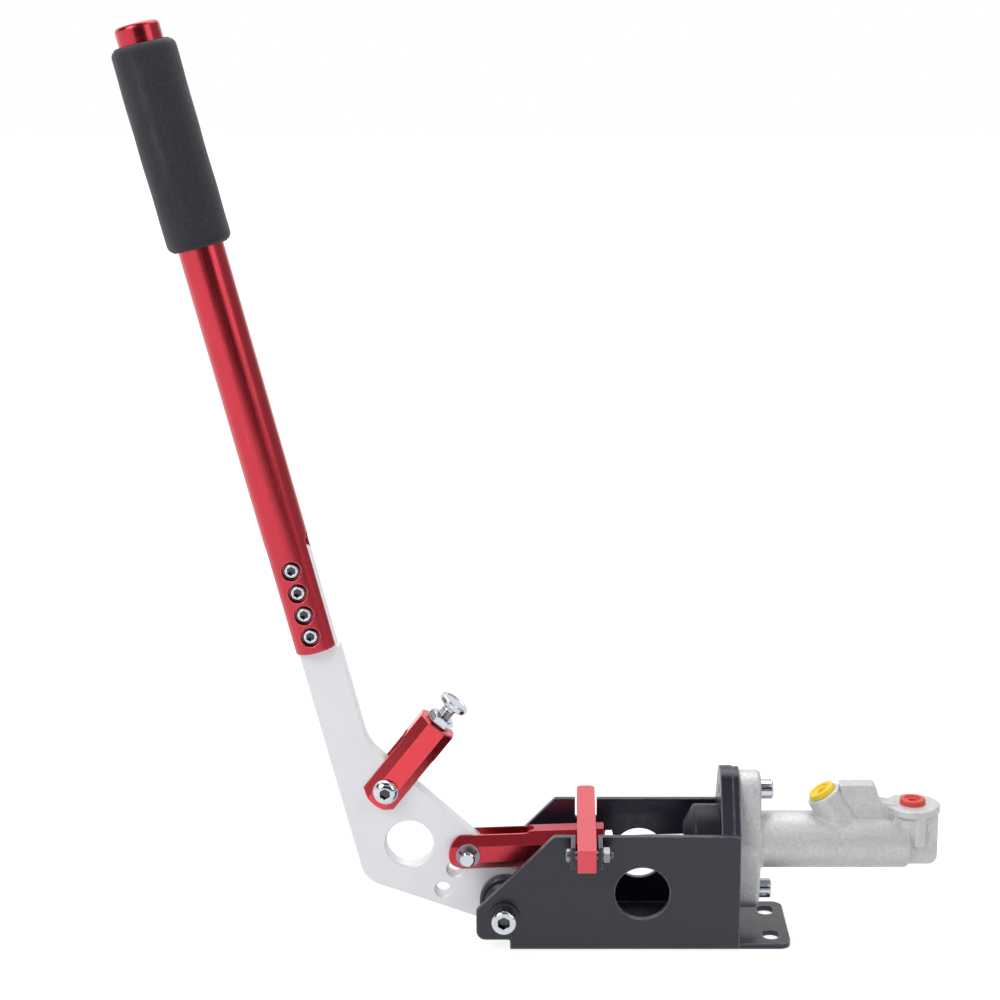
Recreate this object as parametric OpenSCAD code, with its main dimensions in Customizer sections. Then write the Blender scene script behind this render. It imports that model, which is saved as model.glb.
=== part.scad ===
// Hydraulic hand brake lever: a handle on a cross bolt pushes the piston of a master cylinder
// through an adjustable link. A swing arm with an adjuster and a hinged cross bar hold it pulled.
// Millimetres. X runs from the lever to the cylinder, Z is up, Y = 0 is the middle plane.
// The origin is on the underside of the base, half way along its floor.

/* [Base] */
// Outside width of the folded base
box_w = 61; // [58:0.5:70]
// Thickness of the base sheet
sheet_t = 3; // [2.5:0.1:3.5]
// Height of the side walls above the underside
wall_h = 64.6; // [63:0.1:68]
// Height of the lever pivot above the underside
pivot_h = 19.5; // [19.2:0.1:21]
// Front edge of the floor behind the pivot axis
floor_start = 3; // [1:0.1:8]
// Reach of the wall ears in front of the pivot axis
ear_reach = 15; // [13:0.5:18]
// Height of the wall ears above the underside
ear_lift = 6.2; // [4:0.1:7]
// Corner radius of the wall ears
ear_r = 5; // [2:0.5:5.5]
// Start of the level wall top behind the pivot axis
top_start = 26.6; // [22:0.1:30]
// Rear edge of the side walls behind the pivot axis
wall_rear = 126; // [122:0.5:134]
// Outside radius of the folds along the floor
bend_r = 2.4; // [1:0.1:2.8]
// Diameter of the access hole through both walls
wall_hole_d = 29.3; // [20:0.1:32]
// Distance of the access hole behind the pivot axis
wall_hole_x = 73.7; // [68:0.1:85]
// Height of the access hole above the pivot axis
wall_hole_z = 13; // [6:0.1:15]
// Length of the rear foot past the walls
foot_len = 28; // [24:0.5:40]
// Width of the rear foot
foot_w = 57; // [50:0.5:58]
// Corner radius of the rear foot
foot_r = 6; // [2:0.5:8]
// Width of the mounting slots
slot_w = 9; // [6.5:0.1:10]
// Length of the mounting slots across the base
slot_len = 12; // [11:0.1:14]
// Spacing of the mounting slots across the base
slot_pitch = 33; // [28:0.5:36]
// Distance of the rear slots behind the walls
rear_slot_x = 18; // [13:0.5:20]
// Distance of the front slots behind the pivot axis
front_slot_x = 27; // [24:0.5:32]

/* [Cylinder mount] */
// Thickness of the upright end plate
end_plate_t = 6.8; // [6:0.1:8]
// Thickness of the adapter plate behind it
adapter_t = 3.5; // [3:0.1:4.5]
// Height of the cylinder axis above the pivot axis
cyl_z = 32.2; // [31.5:0.1:33.5]
// Spacing of the two cylinder screws
flange_pitch = 57.15; // [55:0.05:60]
// Radius of the rounded top of the end plate
plate_top_r = 13; // [11:0.5:15]

/* [Pivot] */
// Diameter of the pivot bolt
pivot_d = 8; // [7:0.1:8.5]
// Diameter of the pivot bolt head
pivot_head_d = 13; // [12.5:0.1:15]
// Height of the pivot bolt head
pivot_head_h = 8; // [6:0.1:9]
// Outside diameter of the fixed pivot sleeve
sleeve_d = 12; // [11.5:0.1:13]
// Diameter of the bush flanges beside the lever plate
bush_flange_d = 28; // [25:0.5:28.4]
// Thickness of the bush flanges
bush_flange_t = 6.5; // [3:0.1:7]
// Diameter of the bush hubs that reach to the walls
bush_hub_d = 19; // [16.5:0.5:22]

/* [Lever plate] */
// Thickness of the lever plate
plate_t = 10; // [9:0.1:10.5]
// Radius of the plate end around the pivot
plate_end_r = 15.4; // [14.5:0.1:15.8]
// Slope of the lower plate edge
low_edge_deg = 19.4; // [17:0.1:22]
// Slope of the upper plate edge
top_edge_deg = 42.2; // [41:0.1:45]
// Radius of the lower left plate corner
plate_corner_r = 15; // [8:0.5:18]
// Radius of the inside corner under the handle
plate_inside_r = 22; // [12:0.5:26]
// Width of the plate neck under the handle
neck_w = 21.7; // [21.2:0.1:24]
// Diameter of the large lightening hole
big_hole_d = 26; // [18:0.1:28]
// Centre of the large lightening hole from the pivot axis
big_hole_pos = [-52.1, 31.3];
// Radii of the three link pin holes from the pivot axis
pin_radii = [33.4, 32.2, 34.6];
// Bearings of the three link pin holes
pin_bearings = [126.84, 149.2, 171.8];

/* [Handle] */
// Lower end of the handle tube from the pivot axis
tube_pos = [-99.9, 140.2];
// Lean of the handle from upright
tube_lean = 14.3; // [12:0.1:16]
// Diameter of the handle tube
tube_d = 23.8; // [22.5:0.1:26]
// Length of the handle tube
tube_len = 322; // [290:1:350]
// Length of the solid lower end of the tube
tube_solid = 75; // [70:1:90]
// Depth of the slot that takes the plate
tube_slot = 63; // [62:0.5:66]
// Wall of the handle tube
tube_wall = 2.4; // [2:0.1:4]
// Height of the first handle screw above the tube end
screw_start = 9.4; // [9:0.1:11]
// Spacing of the handle screws
screw_pitch = 12.3; // [12:0.1:13]
// Diameter of the handle screw heads
screw_head_d = 8.7; // [8:0.1:9.4]
// Wall of the foam grip
foam_t = 4.9; // [3.5:0.1:8]
// Length of the foam grip
foam_len = 105; // [80:1:125]
// Height of the end cap above the foam
cap_proud = 10; // [6:0.1:14]
// Step from the tube in to the end cap
cap_step = 0.4; // [0.2:0.1:1.5]

/* [Link] */
// Width of the link across its flats
link_w = 21; // [19.5:0.1:21.4]
// Leg of the chamfers along the link
link_chamfer = 5.9; // [5:0.1:6.5]
// Length of the link from its pin to its square end
link_bar_len = 74; // [70:0.5:78]
// Length of the link clevis slot from its pin
link_slot = 36; // [33:0.5:38]
// Diameter of the push rod
rod_d = 8; // [7:0.1:8.2]
// Diameter of the ball on the push rod
ball_d = 9; // [8.8:0.1:9.2]
// Diameter of the clevis pin
pin_d = 8; // [7.5:0.1:8.4]

/* [Hold arm] */
// Arm pivot from the lever pivot axis
arm_pos = [-64.1, 62.9];
// Bearing of the arm above level
arm_deg = 51.5; // [48:0.5:58]
// Width of the arm across its flats
arm_w = 21; // [20:0.1:22]
// Leg of the chamfers along the arm
arm_chamfer = 5.4; // [4.5:0.1:6]
// Length of the arm from its pivot to its square end
arm_len = 45.2; // [44:0.1:50]
// Length of the arm clevis slot from its pivot
arm_slot = 32; // [31:0.5:34]
// Diameter of the arm bolt
arm_bolt_d = 8; // [7:0.1:8.5]
// Diameter of the adjuster head
adjuster_head_d = 16.8; // [14:0.1:18]
// Height of the adjuster head above the arm end
adjuster_reach = 12.3; // [9:0.1:14]
// Reach of the rounded arm end past its pivot
arm_back = 9.6; // [9:0.1:10.5]
// Radius of the rounded arm end
arm_crown = 20; // [12:0.5:26]

/* [Cross bar] */
// Width of the cross bar
bar_w = 10; // [8:0.1:11]
// Height of the cross bar
bar_h = 12.3; // [11.5:0.1:13.5]
// Distance of the cross bar behind the pivot axis
bar_x = 44; // [43:0.5:47]
// Reach of the cross bar past the near wall
bar_near = 23; // [18:0.5:28]
// Reach of the cross bar past the far wall
bar_far = 15; // [8:0.5:20]
// Distance of the bar hinge from the near wall
hinge_out = 10.5; // [9.5:0.1:12]
// Diameter of the bar hinge bolt
hinge_d = 4.6; // [4:0.1:5]
// Thickness of the hinge lugs
lug_t = 2.2; // [1.5:0.1:3]

/* [Master cylinder] */
// Thickness of the cylinder flange
flange_t = 12; // [10:0.1:14]
// Radius of the flange lobes around its screws
lobe_r = 10.5; // [9:0.1:12]
// Diameter of the cylinder body
cyl_d = 30.7; // [30:0.1:34]
// Length of the cylinder body past the flange face
cyl_len = 93; // [92:0.5:97]
// Bore of the cylinder
bore_d = 19.05; // [18:0.05:19.5]
// Diameter of the spigot through the end plate
spigot_d = 28; // [27.5:0.1:30]
// Length of the spigot ahead of the flange face
spigot_len = 18; // [17:0.1:19]
// Diameter of the inlet boss
inlet_d = 19.3; // [17:0.1:21]
// Lean of the inlet boss from upright
inlet_lean = 32; // [30:0.5:38]
// Top of the inlet boss from the flange face and the cylinder axis
inlet_top = [46.2, 26.4];
// Thickness of the web between the ports
web_t = 9.5; // [5:0.1:11]
// Height of the web above the cylinder axis
web_z = 32.2; // [31:0.1:34]
// Distance of the outlet boss behind the flange face
outlet_x = 95; // [94:0.1:97]
// Diameter of the outlet boss
outlet_d = 29.8; // [26:0.1:31]
// Height of the outlet boss above the cylinder axis
outlet_z = 20.6; // [19:0.1:23]
// Largest diameter of the dust boot
boot_d = 38; // [36:0.1:40]

/* [Hidden] */
$fn = 64;
// clearances: running fits, plain holes and the air around swinging pieces
run_fit = 0.05;
seat_fit = 0.02;
hole_fit = 0.25;
side_gap = 0.4;
swing_gap = 0.35;
// widest turn of one step of a rounded outline
arc_step = 9;

inner_w = box_w - 2 * sheet_t;
wall_y = box_w / 2;
wall_z = wall_h - pivot_h;
floor_z = sheet_t - pivot_h;
ear_z = ear_lift - pivot_h;
foot_end = wall_rear + foot_len;
origin_x = (floor_start + foot_end) / 2;
washer_t = 1.6;
washer_d = pivot_head_d + 3;
nut_af = 13;

flange_x = wall_rear + 0.3;
adapter_x = flange_x - adapter_t;
end_plate_x = adapter_x - end_plate_t;
flange_hole_z = flange_pitch / 2;
flange_screw_d = 6;

bush_spigot_d = sleeve_d + 4;
bush_len = inner_w / 2 - plate_t / 2 - swing_gap;

pin_pos = pin_radii[0] * [cos(pin_bearings[0]), sin(pin_bearings[0])];
ball_pos = [wall_rear + 1, cyl_z];
link_len = norm(ball_pos - pin_pos);
link_deg = asin((ball_pos.y - pin_pos.y) / link_len);
clevis_w = plate_t + 2 * side_gap;
rod_nut_h = 5;
rod_start = link_slot + 12;
clip_t = 1;

tube_dir = [-sin(tube_lean), cos(tube_lean)];
tube_side = [cos(tube_lean), sin(tube_lean)];
tang_top = tube_slot - 7;
tang_left = -tube_d / 2 + 2.5;
tang_right = tube_d / 2 - 1.2;
screw_d = 5;
screw_seat = plate_t / 2 + side_gap + 2.8;
screw_head_h = 2.6;
screw_end = 9.8;
foam_start = tube_len - foam_len + 3.5;
cap_top = foam_start + foam_len + cap_proud;
tube_bore = tube_d - 2 * tube_wall;
foam_d = tube_d + 2 * foam_t;
foam_r = 0.86 * foam_t;
cap_d = tube_d - 2 * cap_step;
cap_stem = 14;
cap_r = 2.6;

// edges of the lever plate as lines: a point and a direction
low_dir = [cos(low_edge_deg), -sin(low_edge_deg)];
low_foot = -plate_end_r * [sin(low_edge_deg), cos(low_edge_deg)];
top_dir = [cos(top_edge_deg), -sin(top_edge_deg)];
top_foot = plate_end_r * [sin(top_edge_deg), cos(top_edge_deg)];
left_foot = tube_pos + tang_left * tube_side;
right_foot = left_foot + neck_w * tube_side;
plate_low_left = meet(left_foot, tube_dir, low_foot, low_dir);
plate_inside = meet(right_foot, tube_dir, top_foot, top_dir);

link_high_z = max(pin_radii[0], cyl_z) + link_w / 2 + swing_gap;
bar_top_z = max(wall_z + 1.2, link_high_z + 2);
bar_low_z = bar_top_z - bar_h;
bar_slot_z = bar_low_z - 0.2;
bar_slot_w = bar_w + 2;
hinge_y = -wall_y - hinge_out;
hinge_z = bar_low_z + 4.8;
lug_gap = bar_w + 2.2;
lug_out = 16;
lug_h = 14;

arm_nut_h = 6;
adjuster_head_t = 3.4;
adjuster_nut_h = 5.2;

piston_d = bore_d - 2 * run_fit;
piston_rear = 3.9 - spigot_len;
piston_front = 46;
cup_d = ball_d + 3.4;
bore_end = 86;
seal_x = [12, 38];
seal_t = 4;
seal_groove_d = bore_d - 5.4;
spring_wire = 1.6;
spring_d = bore_d - 4;
inlet_plug_d = 15;
inlet_port_d = inlet_plug_d - 3;
outlet_plug_d = 14;
plug_h = 2.8;
outlet_port_d = outlet_plug_d - 3;
end_port_d = 7;
block_len = 14.5;
block_end = cyl_len + block_len;
block_low = 4.9 - cyl_d / 2;
neck_r = 2;
rib_d = 8.5;
flange_head_d = 10.4;
flange_head_h = 6.8;
flange_key = 5;
boot_nose = 29.3;
boot_wall = 1.9;
boot_lip = 3.2;
boot_gap = 1.7;
boot_cone = 9.3;
boot_slope = 6.6;
boot_r = 2.5;

function unit(v) = v / norm(v);
function cross2(a, b) = a.x * b.y - a.y * b.x;
// where two lines cross, each given by a point and a direction
function meet(p, u, q, v) = p + u * cross2(q - p, v) / cross2(u, v);
function turn(a) = a > 180 ? a - 360 : a < -180 ? a + 360 : a;
function bearing(c, p) = atan2(p.y - c.y, p.x - c.x);
function arc(c, r, a, da) = let (n = max(2, ceil(abs(da) / arc_step)))
    [for (i = [0:n]) c + r * [cos(a + da * i / n), sin(a + da * i / n)]];
// a corner p between a and b, rounded to radius r
function corner(a, p, b, r) = r == 0 ? [p] :
    let (
        u = unit(a - p),
        v = unit(b - p),
        half = acos(u * v) / 2,
        c = p + unit(u + v) * r / sin(half),
        from = bearing(c, p + u * r / tan(half)),
        to = bearing(c, p + v * r / tan(half))
    )
    arc(c, r, from, turn(to - from));
// an outline from points [x, y, corner radius]
function flat(p) = [p[0], p[1]];
function rounded(p) = let (n = len(p))
    [for (i = [0:n - 1]) each corner(flat(p[(i + n - 1) % n]), flat(p[i]), flat(p[(i + 1) % n]), p[i][2])];
function add_r(p, r) = [p.x, p.y, r];

// frames of the assembly
module at_pivot() {
    translate([-origin_x, 0, pivot_h]) children();
}
module at_cylinder() {
    at_pivot() translate([flange_x, 0, cyl_z]) children();
}
module at_tube() {
    at_pivot() translate([tube_pos.x, 0, tube_pos.y]) rotate([0, -tube_lean, 0]) children();
}
module at_link() {
    at_pivot() translate([pin_pos.x, 0, pin_pos.y]) rotate([0, -link_deg, 0]) children();
}
module at_arm() {
    at_pivot() translate([arm_pos.x, 0, arm_pos.y]) rotate([0, -arm_deg, 0]) children();
}
module at_inlet() {
    at_cylinder() translate([inlet_top.x, 0, inlet_top.y]) rotate([0, -inlet_lean, 0]) children();
}
module at_outlet() {
    at_cylinder() translate([outlet_x, 0, outlet_z]) children();
}

// shapes laid along an axis
module rod_x(d, x, l) {
    translate([x, 0, 0]) rotate([0, 90, 0]) cylinder(d = d, h = l);
}
module rod_y(d, y, l) {
    translate([0, y, 0]) rotate([-90, 0, 0]) cylinder(d = d, h = l);
}
module lathe_x(p) {
    rotate([0, 90, 0]) rotate_extrude() polygon([for (q = p) [q[1], q[0]]]);
}
module lathe_y(p) {
    rotate([-90, 0, 0]) rotate_extrude() polygon([for (q = p) [q[1], q[0]]]);
}
module slab_y(t) {
    rotate([90, 0, 0]) linear_extrude(t, center = true) children();
}
module slab_x(x, t) {
    translate([x, 0, 0]) rotate([90, 0, 90]) linear_extrude(t) children();
}
module eight_sided(w, c) {
    h = w / 2;
    k = h - c;
    polygon([[h, -k], [h, k], [k, h], [-k, h], [-h, k], [-h, -k], [-k, -h], [k, -h]]);
}
module slot_hole() {
    l = (slot_len - slot_w) / 2;
    square([slot_w, 2 * l], center = true);
    translate([0, l]) circle(d = slot_w);
    translate([0, -l]) circle(d = slot_w);
}
// hexagon nut on Z with chamfered corners
module nut(af, h, hole) {
    r = af / sqrt(3);
    c = 0.12 * af;
    difference() {
        intersection() {
            cylinder(r = r, h = h, $fn = 6);
            rotate_extrude() polygon([[0, 0], [r - c, 0], [r, 0.58 * c], [r, h - 0.58 * c], [r - c, h],
                [0, h]]);
        }
        translate([0, 0, -1]) cylinder(d = hole, h = h + 2);
    }
}
// socket head screw on Z: the head ends at 0, the shank runs up
module socket_screw(d, head_d, head_h, l, key) {
    r = head_d / 2;
    c = 0.07 * head_d;
    difference() {
        rotate_extrude() polygon([[0, -head_h], [r - c, -head_h], [r, c - head_h], [r, 0], [d / 2, 0],
            [d / 2, l - 0.12 * d], [0.38 * d, l], [0, l]]);
        translate([0, 0, -head_h - 1]) cylinder(d = key / cos(30), h = 0.55 * head_h + 1, $fn = 6);
    }
}

module wall_outline() {
    s = bar_slot_w / 2;
    difference() {
        polygon(rounded([[-ear_reach, ear_z, ear_r], [floor_start, ear_z, 1], [floor_start, -pivot_h, 0],
            [wall_rear, -pivot_h, 0], [wall_rear, wall_z, 2], [top_start, wall_z, 2.5],
            [-ear_reach, wall_z - top_start - ear_reach, 2.5]]));
        circle(d = pivot_d + 2 * hole_fit);
        translate([wall_hole_x, wall_hole_z]) circle(d = wall_hole_d);
        polygon(rounded([[bar_x - s, wall_z + 9, 0], [bar_x - s, bar_slot_z, 1.5],
            [bar_x + s, bar_slot_z, 1.5], [bar_x + s, wall_z + 9, 0]]));
    }
}
module floor_outline() {
    difference() {
        polygon(rounded([[floor_start, -wall_y, 0], [wall_rear, -wall_y, 0], [wall_rear, -foot_w / 2, 0],
            [foot_end, -foot_w / 2, foot_r], [foot_end, foot_w / 2, foot_r], [wall_rear, foot_w / 2, 0],
            [wall_rear, wall_y, 0], [floor_start, wall_y, 0]]));
        for (s = [-1, 1]) {
            translate([wall_rear + rear_slot_x, s * slot_pitch / 2]) slot_hole();
            translate([front_slot_x, s * slot_pitch / 2]) slot_hole();
        }
    }
}
module fold_cut() {
    slab_x(floor_start - 1, wall_rear - floor_start + 2) difference() {
        translate([-wall_y - 1, -pivot_h - 1]) square(bend_r + 1);
        translate([bend_r - wall_y, bend_r - pivot_h]) circle(r = bend_r);
    }
}
module base_channel() {
    color([0.16, 0.16, 0.18]) at_pivot() difference() {
        union() {
            for (s = [-1, 1]) {
                translate([0, s * (wall_y - sheet_t / 2), 0]) slab_y(sheet_t) wall_outline();
            }
            translate([0, 0, -pivot_h]) linear_extrude(sheet_t) floor_outline();
        }
        fold_cut();
        mirror([0, 1, 0]) fold_cut();
    }
}
module hinge_lugs() {
    color([0.18, 0.18, 0.2]) at_pivot() for (x = [-lug_gap / 2 - lug_t, lug_gap / 2]) {
        difference() {
            slab_x(bar_x + x, lug_t) polygon(rounded([[-wall_y, wall_z, 0], [-wall_y, wall_z - lug_h, 0],
                [-wall_y - lug_out, wall_z - lug_h, 4], [-wall_y - lug_out, wall_z, 1.5]]));
            translate([0, hinge_y, hinge_z]) rod_x(hinge_d + 2 * hole_fit, bar_x - 20, 40);
        }
    }
}

// upright plate between the walls, narrowing to a round top over the upper screw
module mount_outline(w, inset) {
    top = cyl_z + flange_hole_z;
    r = plate_top_r - inset;
    s = [w / 2, wall_z - 1];
    d = s - [0, top];
    a = atan2(d.y, d.x) + acos(r / norm(d));
    t = r * [cos(a), sin(a)] + [0, top];
    polygon([[-w / 2, floor_z], [w / 2, floor_z], s, t, [-t.x, t.y], [-s.x, s.y]]);
    translate([0, top]) circle(r = r);
}
module mount_holes(x, t) {
    translate([0, 0, cyl_z]) rod_x(spigot_d + 2 * hole_fit, x - 1, t + 2);
    for (s = [-1, 1]) {
        translate([0, 0, cyl_z + s * flange_hole_z]) rod_x(flange_screw_d + 2 * hole_fit, x - 1, t + 2);
    }
}
module end_plate() {
    color([0.17, 0.17, 0.19]) at_pivot() difference() {
        slab_x(end_plate_x, end_plate_t) mount_outline(inner_w, 0);
        mount_holes(end_plate_x, end_plate_t);
    }
}
module adapter_plate() {
    color([0.2, 0.2, 0.22]) at_pivot() difference() {
        slab_x(adapter_x, adapter_t) mount_outline(inner_w - 1, 0.6);
        mount_holes(adapter_x, adapter_t);
    }
}

module pivot_bolt() {
    seat = wall_y + washer_t;
    color([0.75, 0.75, 0.77]) at_pivot() translate([0, -seat, 0]) rotate([-90, 0, 0])
        socket_screw(pivot_d, pivot_head_d, pivot_head_h, 2 * seat + 11, 6);
}
module pivot_washers() {
    color([0.12, 0.12, 0.13]) at_pivot() for (y = [-wall_y - washer_t, wall_y]) {
        difference() {
            rod_y(washer_d, y, washer_t);
            rod_y(pivot_d + 2 * hole_fit, y - 1, washer_t + 2);
        }
    }
}
module pivot_nut() {
    color([0.72, 0.72, 0.74]) at_pivot() translate([0, wall_y + washer_t, 0]) rotate([-90, 0, 0])
        nut(nut_af, 8, pivot_d + 2 * seat_fit);
}
module pivot_sleeve() {
    color([0.6, 0.6, 0.62]) at_pivot() difference() {
        rod_y(sleeve_d, -inner_w / 2, inner_w);
        rod_y(pivot_d + 2 * hole_fit, -inner_w, 2 * inner_w);
    }
}

// screw flange with rounded outer edges: two lobes and a round middle
module flange_disc(r) {
    e = 2.6;
    rotate([0, 90, 0]) rotate_extrude($fn = 32)
        polygon(concat([[0, 0], [r, 0]], arc([r - e, flange_t - e], e, 0, 90), [[0, flange_t]]));
}
module flange() {
    hull() {
        for (s = [-1, 1]) {
            translate([0, 0, s * flange_hole_z]) flange_disc(lobe_r);
        }
        flange_disc(cyl_d / 2 + neck_r);
    }
}
module inlet_boss() {
    r = inlet_d / 2;
    translate([inlet_top.x, 0, inlet_top.y]) rotate([0, -inlet_lean, 0]) translate([0, 0, -29])
        rotate_extrude() polygon([[0, 0], [r + 1.4, 0], [r, 28.2], [r - 0.8, 29], [0, 29]]);
}
// wall between the ports: its left edge lies inside the inlet boss and its right edge inside the outlet boss
module port_web() {
    side = [cos(inlet_lean), sin(inlet_lean)];
    down = [sin(inlet_lean), -cos(inlet_lean)];
    top_x = inlet_top.x + (inlet_d / 2 + 0.2) * side.x;
    right = outlet_x - outlet_d / 2 - 6.2;
    slab_y(web_t) polygon(rounded([[50, 6, 0], add_r(inlet_top + (inlet_d / 2 - 1.5) * side + 8 * down, 0),
        [top_x, web_z, 0], [right, web_z, 2.5], [right + 3, web_z - 9.6, 1.5], [outlet_x - 6, outlet_z - 0.6,
            0],
        [outlet_x - 6, 6, 0]]));
}
module outlet_boss() {
    r = outlet_d / 2;
    translate([outlet_x, 0, 0]) rotate_extrude() polygon(concat([[0, 0], [r - 2.6, 0], [r - 2.6,
        outlet_z - 6]],
        [[r, outlet_z - 3.8]], arc([r - 0.9, outlet_z - 0.9], 0.9, 0, 90), [[0, outlet_z]]));
}
module end_rib() {
    translate([outlet_x + 2.4, -10, 2]) {
        cylinder(d = rib_d, h = outlet_z - 5);
        sphere(d = rib_d);
    }
}
module cylinder_casting() {
    r = cyl_d / 2;
    lathe_x(concat([[-spigot_len, 0], [-spigot_len, spigot_d / 2 - 0.8], [0.8 - spigot_len, spigot_d / 2],
        [1, spigot_d / 2], [1, r], [flange_t, r + neck_r]],
        arc([flange_t + neck_r, r + neck_r], neck_r, 180, 90), arc([cyl_len - 3, r - 3], 3, 90, -90),
        [[cyl_len, 0]]));
    flange();
    inlet_boss();
    port_web();
    outlet_boss();
    slab_y(20) polygon(rounded([[cyl_len - 9, block_low, 0], [block_end, block_low, 5],
        [block_end, outlet_z - 4, 0], [cyl_len - 9, outlet_z - 4, 0]]));
    end_rib();
    mirror([0, 1, 0]) end_rib();
}
module cylinder_body() {
    color([0.74, 0.74, 0.75]) at_cylinder() difference() {
        cylinder_casting();
        rod_x(bore_d, -spigot_len - 1, spigot_len + 1 + bore_end);
        // seat of the stop washer and groove of the circlip at the open end
        rod_x(bore_d + 3, -spigot_len - 1, 5);
        rod_x(bore_d + 4.4, 1 - spigot_len, 1.4);
        rod_x(5, bore_end - 1, block_end - bore_end);
        rod_x(end_port_d, block_end - 8, 9);
        translate([outlet_x, 0, 0]) cylinder(d = 5, h = outlet_z);
        translate([outlet_x, 0, outlet_z - 9]) cylinder(d = outlet_port_d, h = 10);
        translate([inlet_top.x, 0, inlet_top.y]) rotate([0, -inlet_lean, 0]) {
            translate([0, 0, -9]) cylinder(d = inlet_port_d, h = 10);
            translate([0, 0, -26]) cylinder(d = 4, h = 20);
        }
        for (s = [-1, 1]) {
            translate([0, 0, s * flange_hole_z]) rod_x(flange_screw_d + 2 * hole_fit, -1, flange_t + 2);
        }
    }
}
module flange_screws() {
    color([0.78, 0.78, 0.8]) at_cylinder() for (s = [-1, 1]) {
        translate([flange_t, 0, s * flange_hole_z]) rotate([0, -90, 0])
            socket_screw(flange_screw_d, flange_head_d, flange_head_h,
                flange_t + adapter_t + end_plate_t - 0.5, flange_key);
    }
}
module dust_boot() {
    r = boot_d / 2;
    in_r = r - boot_wall;
    nose = -boot_nose;
    mouth = rod_d / 2 + boot_gap;
    back = -adapter_t - end_plate_t;
    lip = spigot_d / 2 + seat_fit;
    color([0.1, 0.1, 0.11]) at_cylinder() lathe_x(concat([[nose, mouth]],
        arc([nose + boot_wall / 2, r - boot_cone], boot_wall / 2, 180, -60),
        arc([nose + boot_slope, r - boot_r], boot_r, 130, -40),
        [[back, r], [back, lip], [back - boot_lip, lip], [back - boot_lip, in_r], [nose + boot_slope, in_r],
        [nose + boot_wall, r - boot_cone - boot_wall / 3], [nose + boot_wall, mouth]]));
}
// blanking plug on Z with a flat rim, a stem and a stepped recess
module port_plug(d, stem, key_sides) {
    difference() {
        rotate_extrude() polygon([[0, -7], [stem / 2 - 0.6, -7], [stem / 2, -6.4], [stem / 2, 0], [d / 2,
            0],
            [d / 2, plug_h - 0.6], [d / 2 - 0.6, plug_h], [0, plug_h]]);
        translate([0, 0, plug_h - 1]) cylinder(d = d - 4, h = 2);
        translate([0, 0, -3]) cylinder(d = d - 6.5, h = 5, $fn = key_sides);
    }
}
module inlet_plug() {
    color([0.95, 0.74, 0.08]) at_inlet() port_plug(inlet_plug_d, inlet_port_d - 2 * seat_fit, 48);
}
module outlet_plug() {
    color([0.88, 0.16, 0.13]) at_outlet() port_plug(outlet_plug_d, outlet_port_d - 2 * seat_fit, 6);
}
module end_plug() {
    color([0.08, 0.08, 0.09]) at_cylinder() difference() {
        rod_x(end_port_d - 2 * seat_fit, block_end - 7, 7.4);
        rod_x(3.4, block_end - 2.6, 4);
    }
}
module stop_washer() {
    color([0.66, 0.66, 0.68]) at_cylinder() difference() {
        rod_x(bore_d + 3 - 2 * seat_fit, 2.5 - spigot_len, 1.4);
        rod_x(rod_d + 5, -spigot_len, 9);
    }
}
module circlip() {
    color([0.5, 0.5, 0.52]) at_cylinder() difference() {
        rod_x(bore_d + 4.2, 1.1 - spigot_len, 1.2);
        rod_x(bore_d - 0.4, -spigot_len, 9);
        translate([-spigot_len, -2, -bore_d]) cube([9, 4, bore_d]);
    }
}
// coil of round wire on X: a ring of wire points swept along a helix
module return_spring() {
    n = 7;
    m = 18;
    k = 8;
    x0 = piston_front + spring_wire / 2 + 0.1;
    x1 = bore_end - spring_wire / 2 - 0.1;
    steps = n * m;
    points = [for (i = [0:steps], j = [0:k - 1]) let (
        a = 360 * i / m,
        b = 360 * j / k,
        r = spring_d / 2 - 0.8 + spring_wire / 2 * cos(b))
        [x0 + (x1 - x0) * i / steps + spring_wire / 2 * sin(b), r * cos(a), r * sin(a)]];
    sides = [for (i = [0:steps - 1], j = [0:k - 1])
        [i * k + j, i * k + (j + 1) % k, (i + 1) * k + (j + 1) % k, (i + 1) * k + j]];
    ends = [[for (j = [0:k - 1]) k - 1 - j], [for (j = [0:k - 1]) steps * k + j]];
    color([0.6, 0.6, 0.62]) at_cylinder() polyhedron(points, concat(sides, ends));
}

module hinge_bolt() {
    x = bar_x - lug_gap / 2 - lug_t;
    color([0.7, 0.7, 0.72]) at_pivot() translate([x, hinge_y, hinge_z]) rotate([0, 90, 0])
        socket_screw(hinge_d, 7.6, 2.8, lug_gap + 2 * lug_t + 5.6, 2.5);
}
module hinge_nut() {
    color([0.72, 0.72, 0.74]) at_pivot() translate([bar_x + lug_gap / 2 + lug_t, hinge_y, hinge_z])
        rotate([0, 90, 0]) nut(8, 4, hinge_d + 2 * seat_fit);
}

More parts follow.
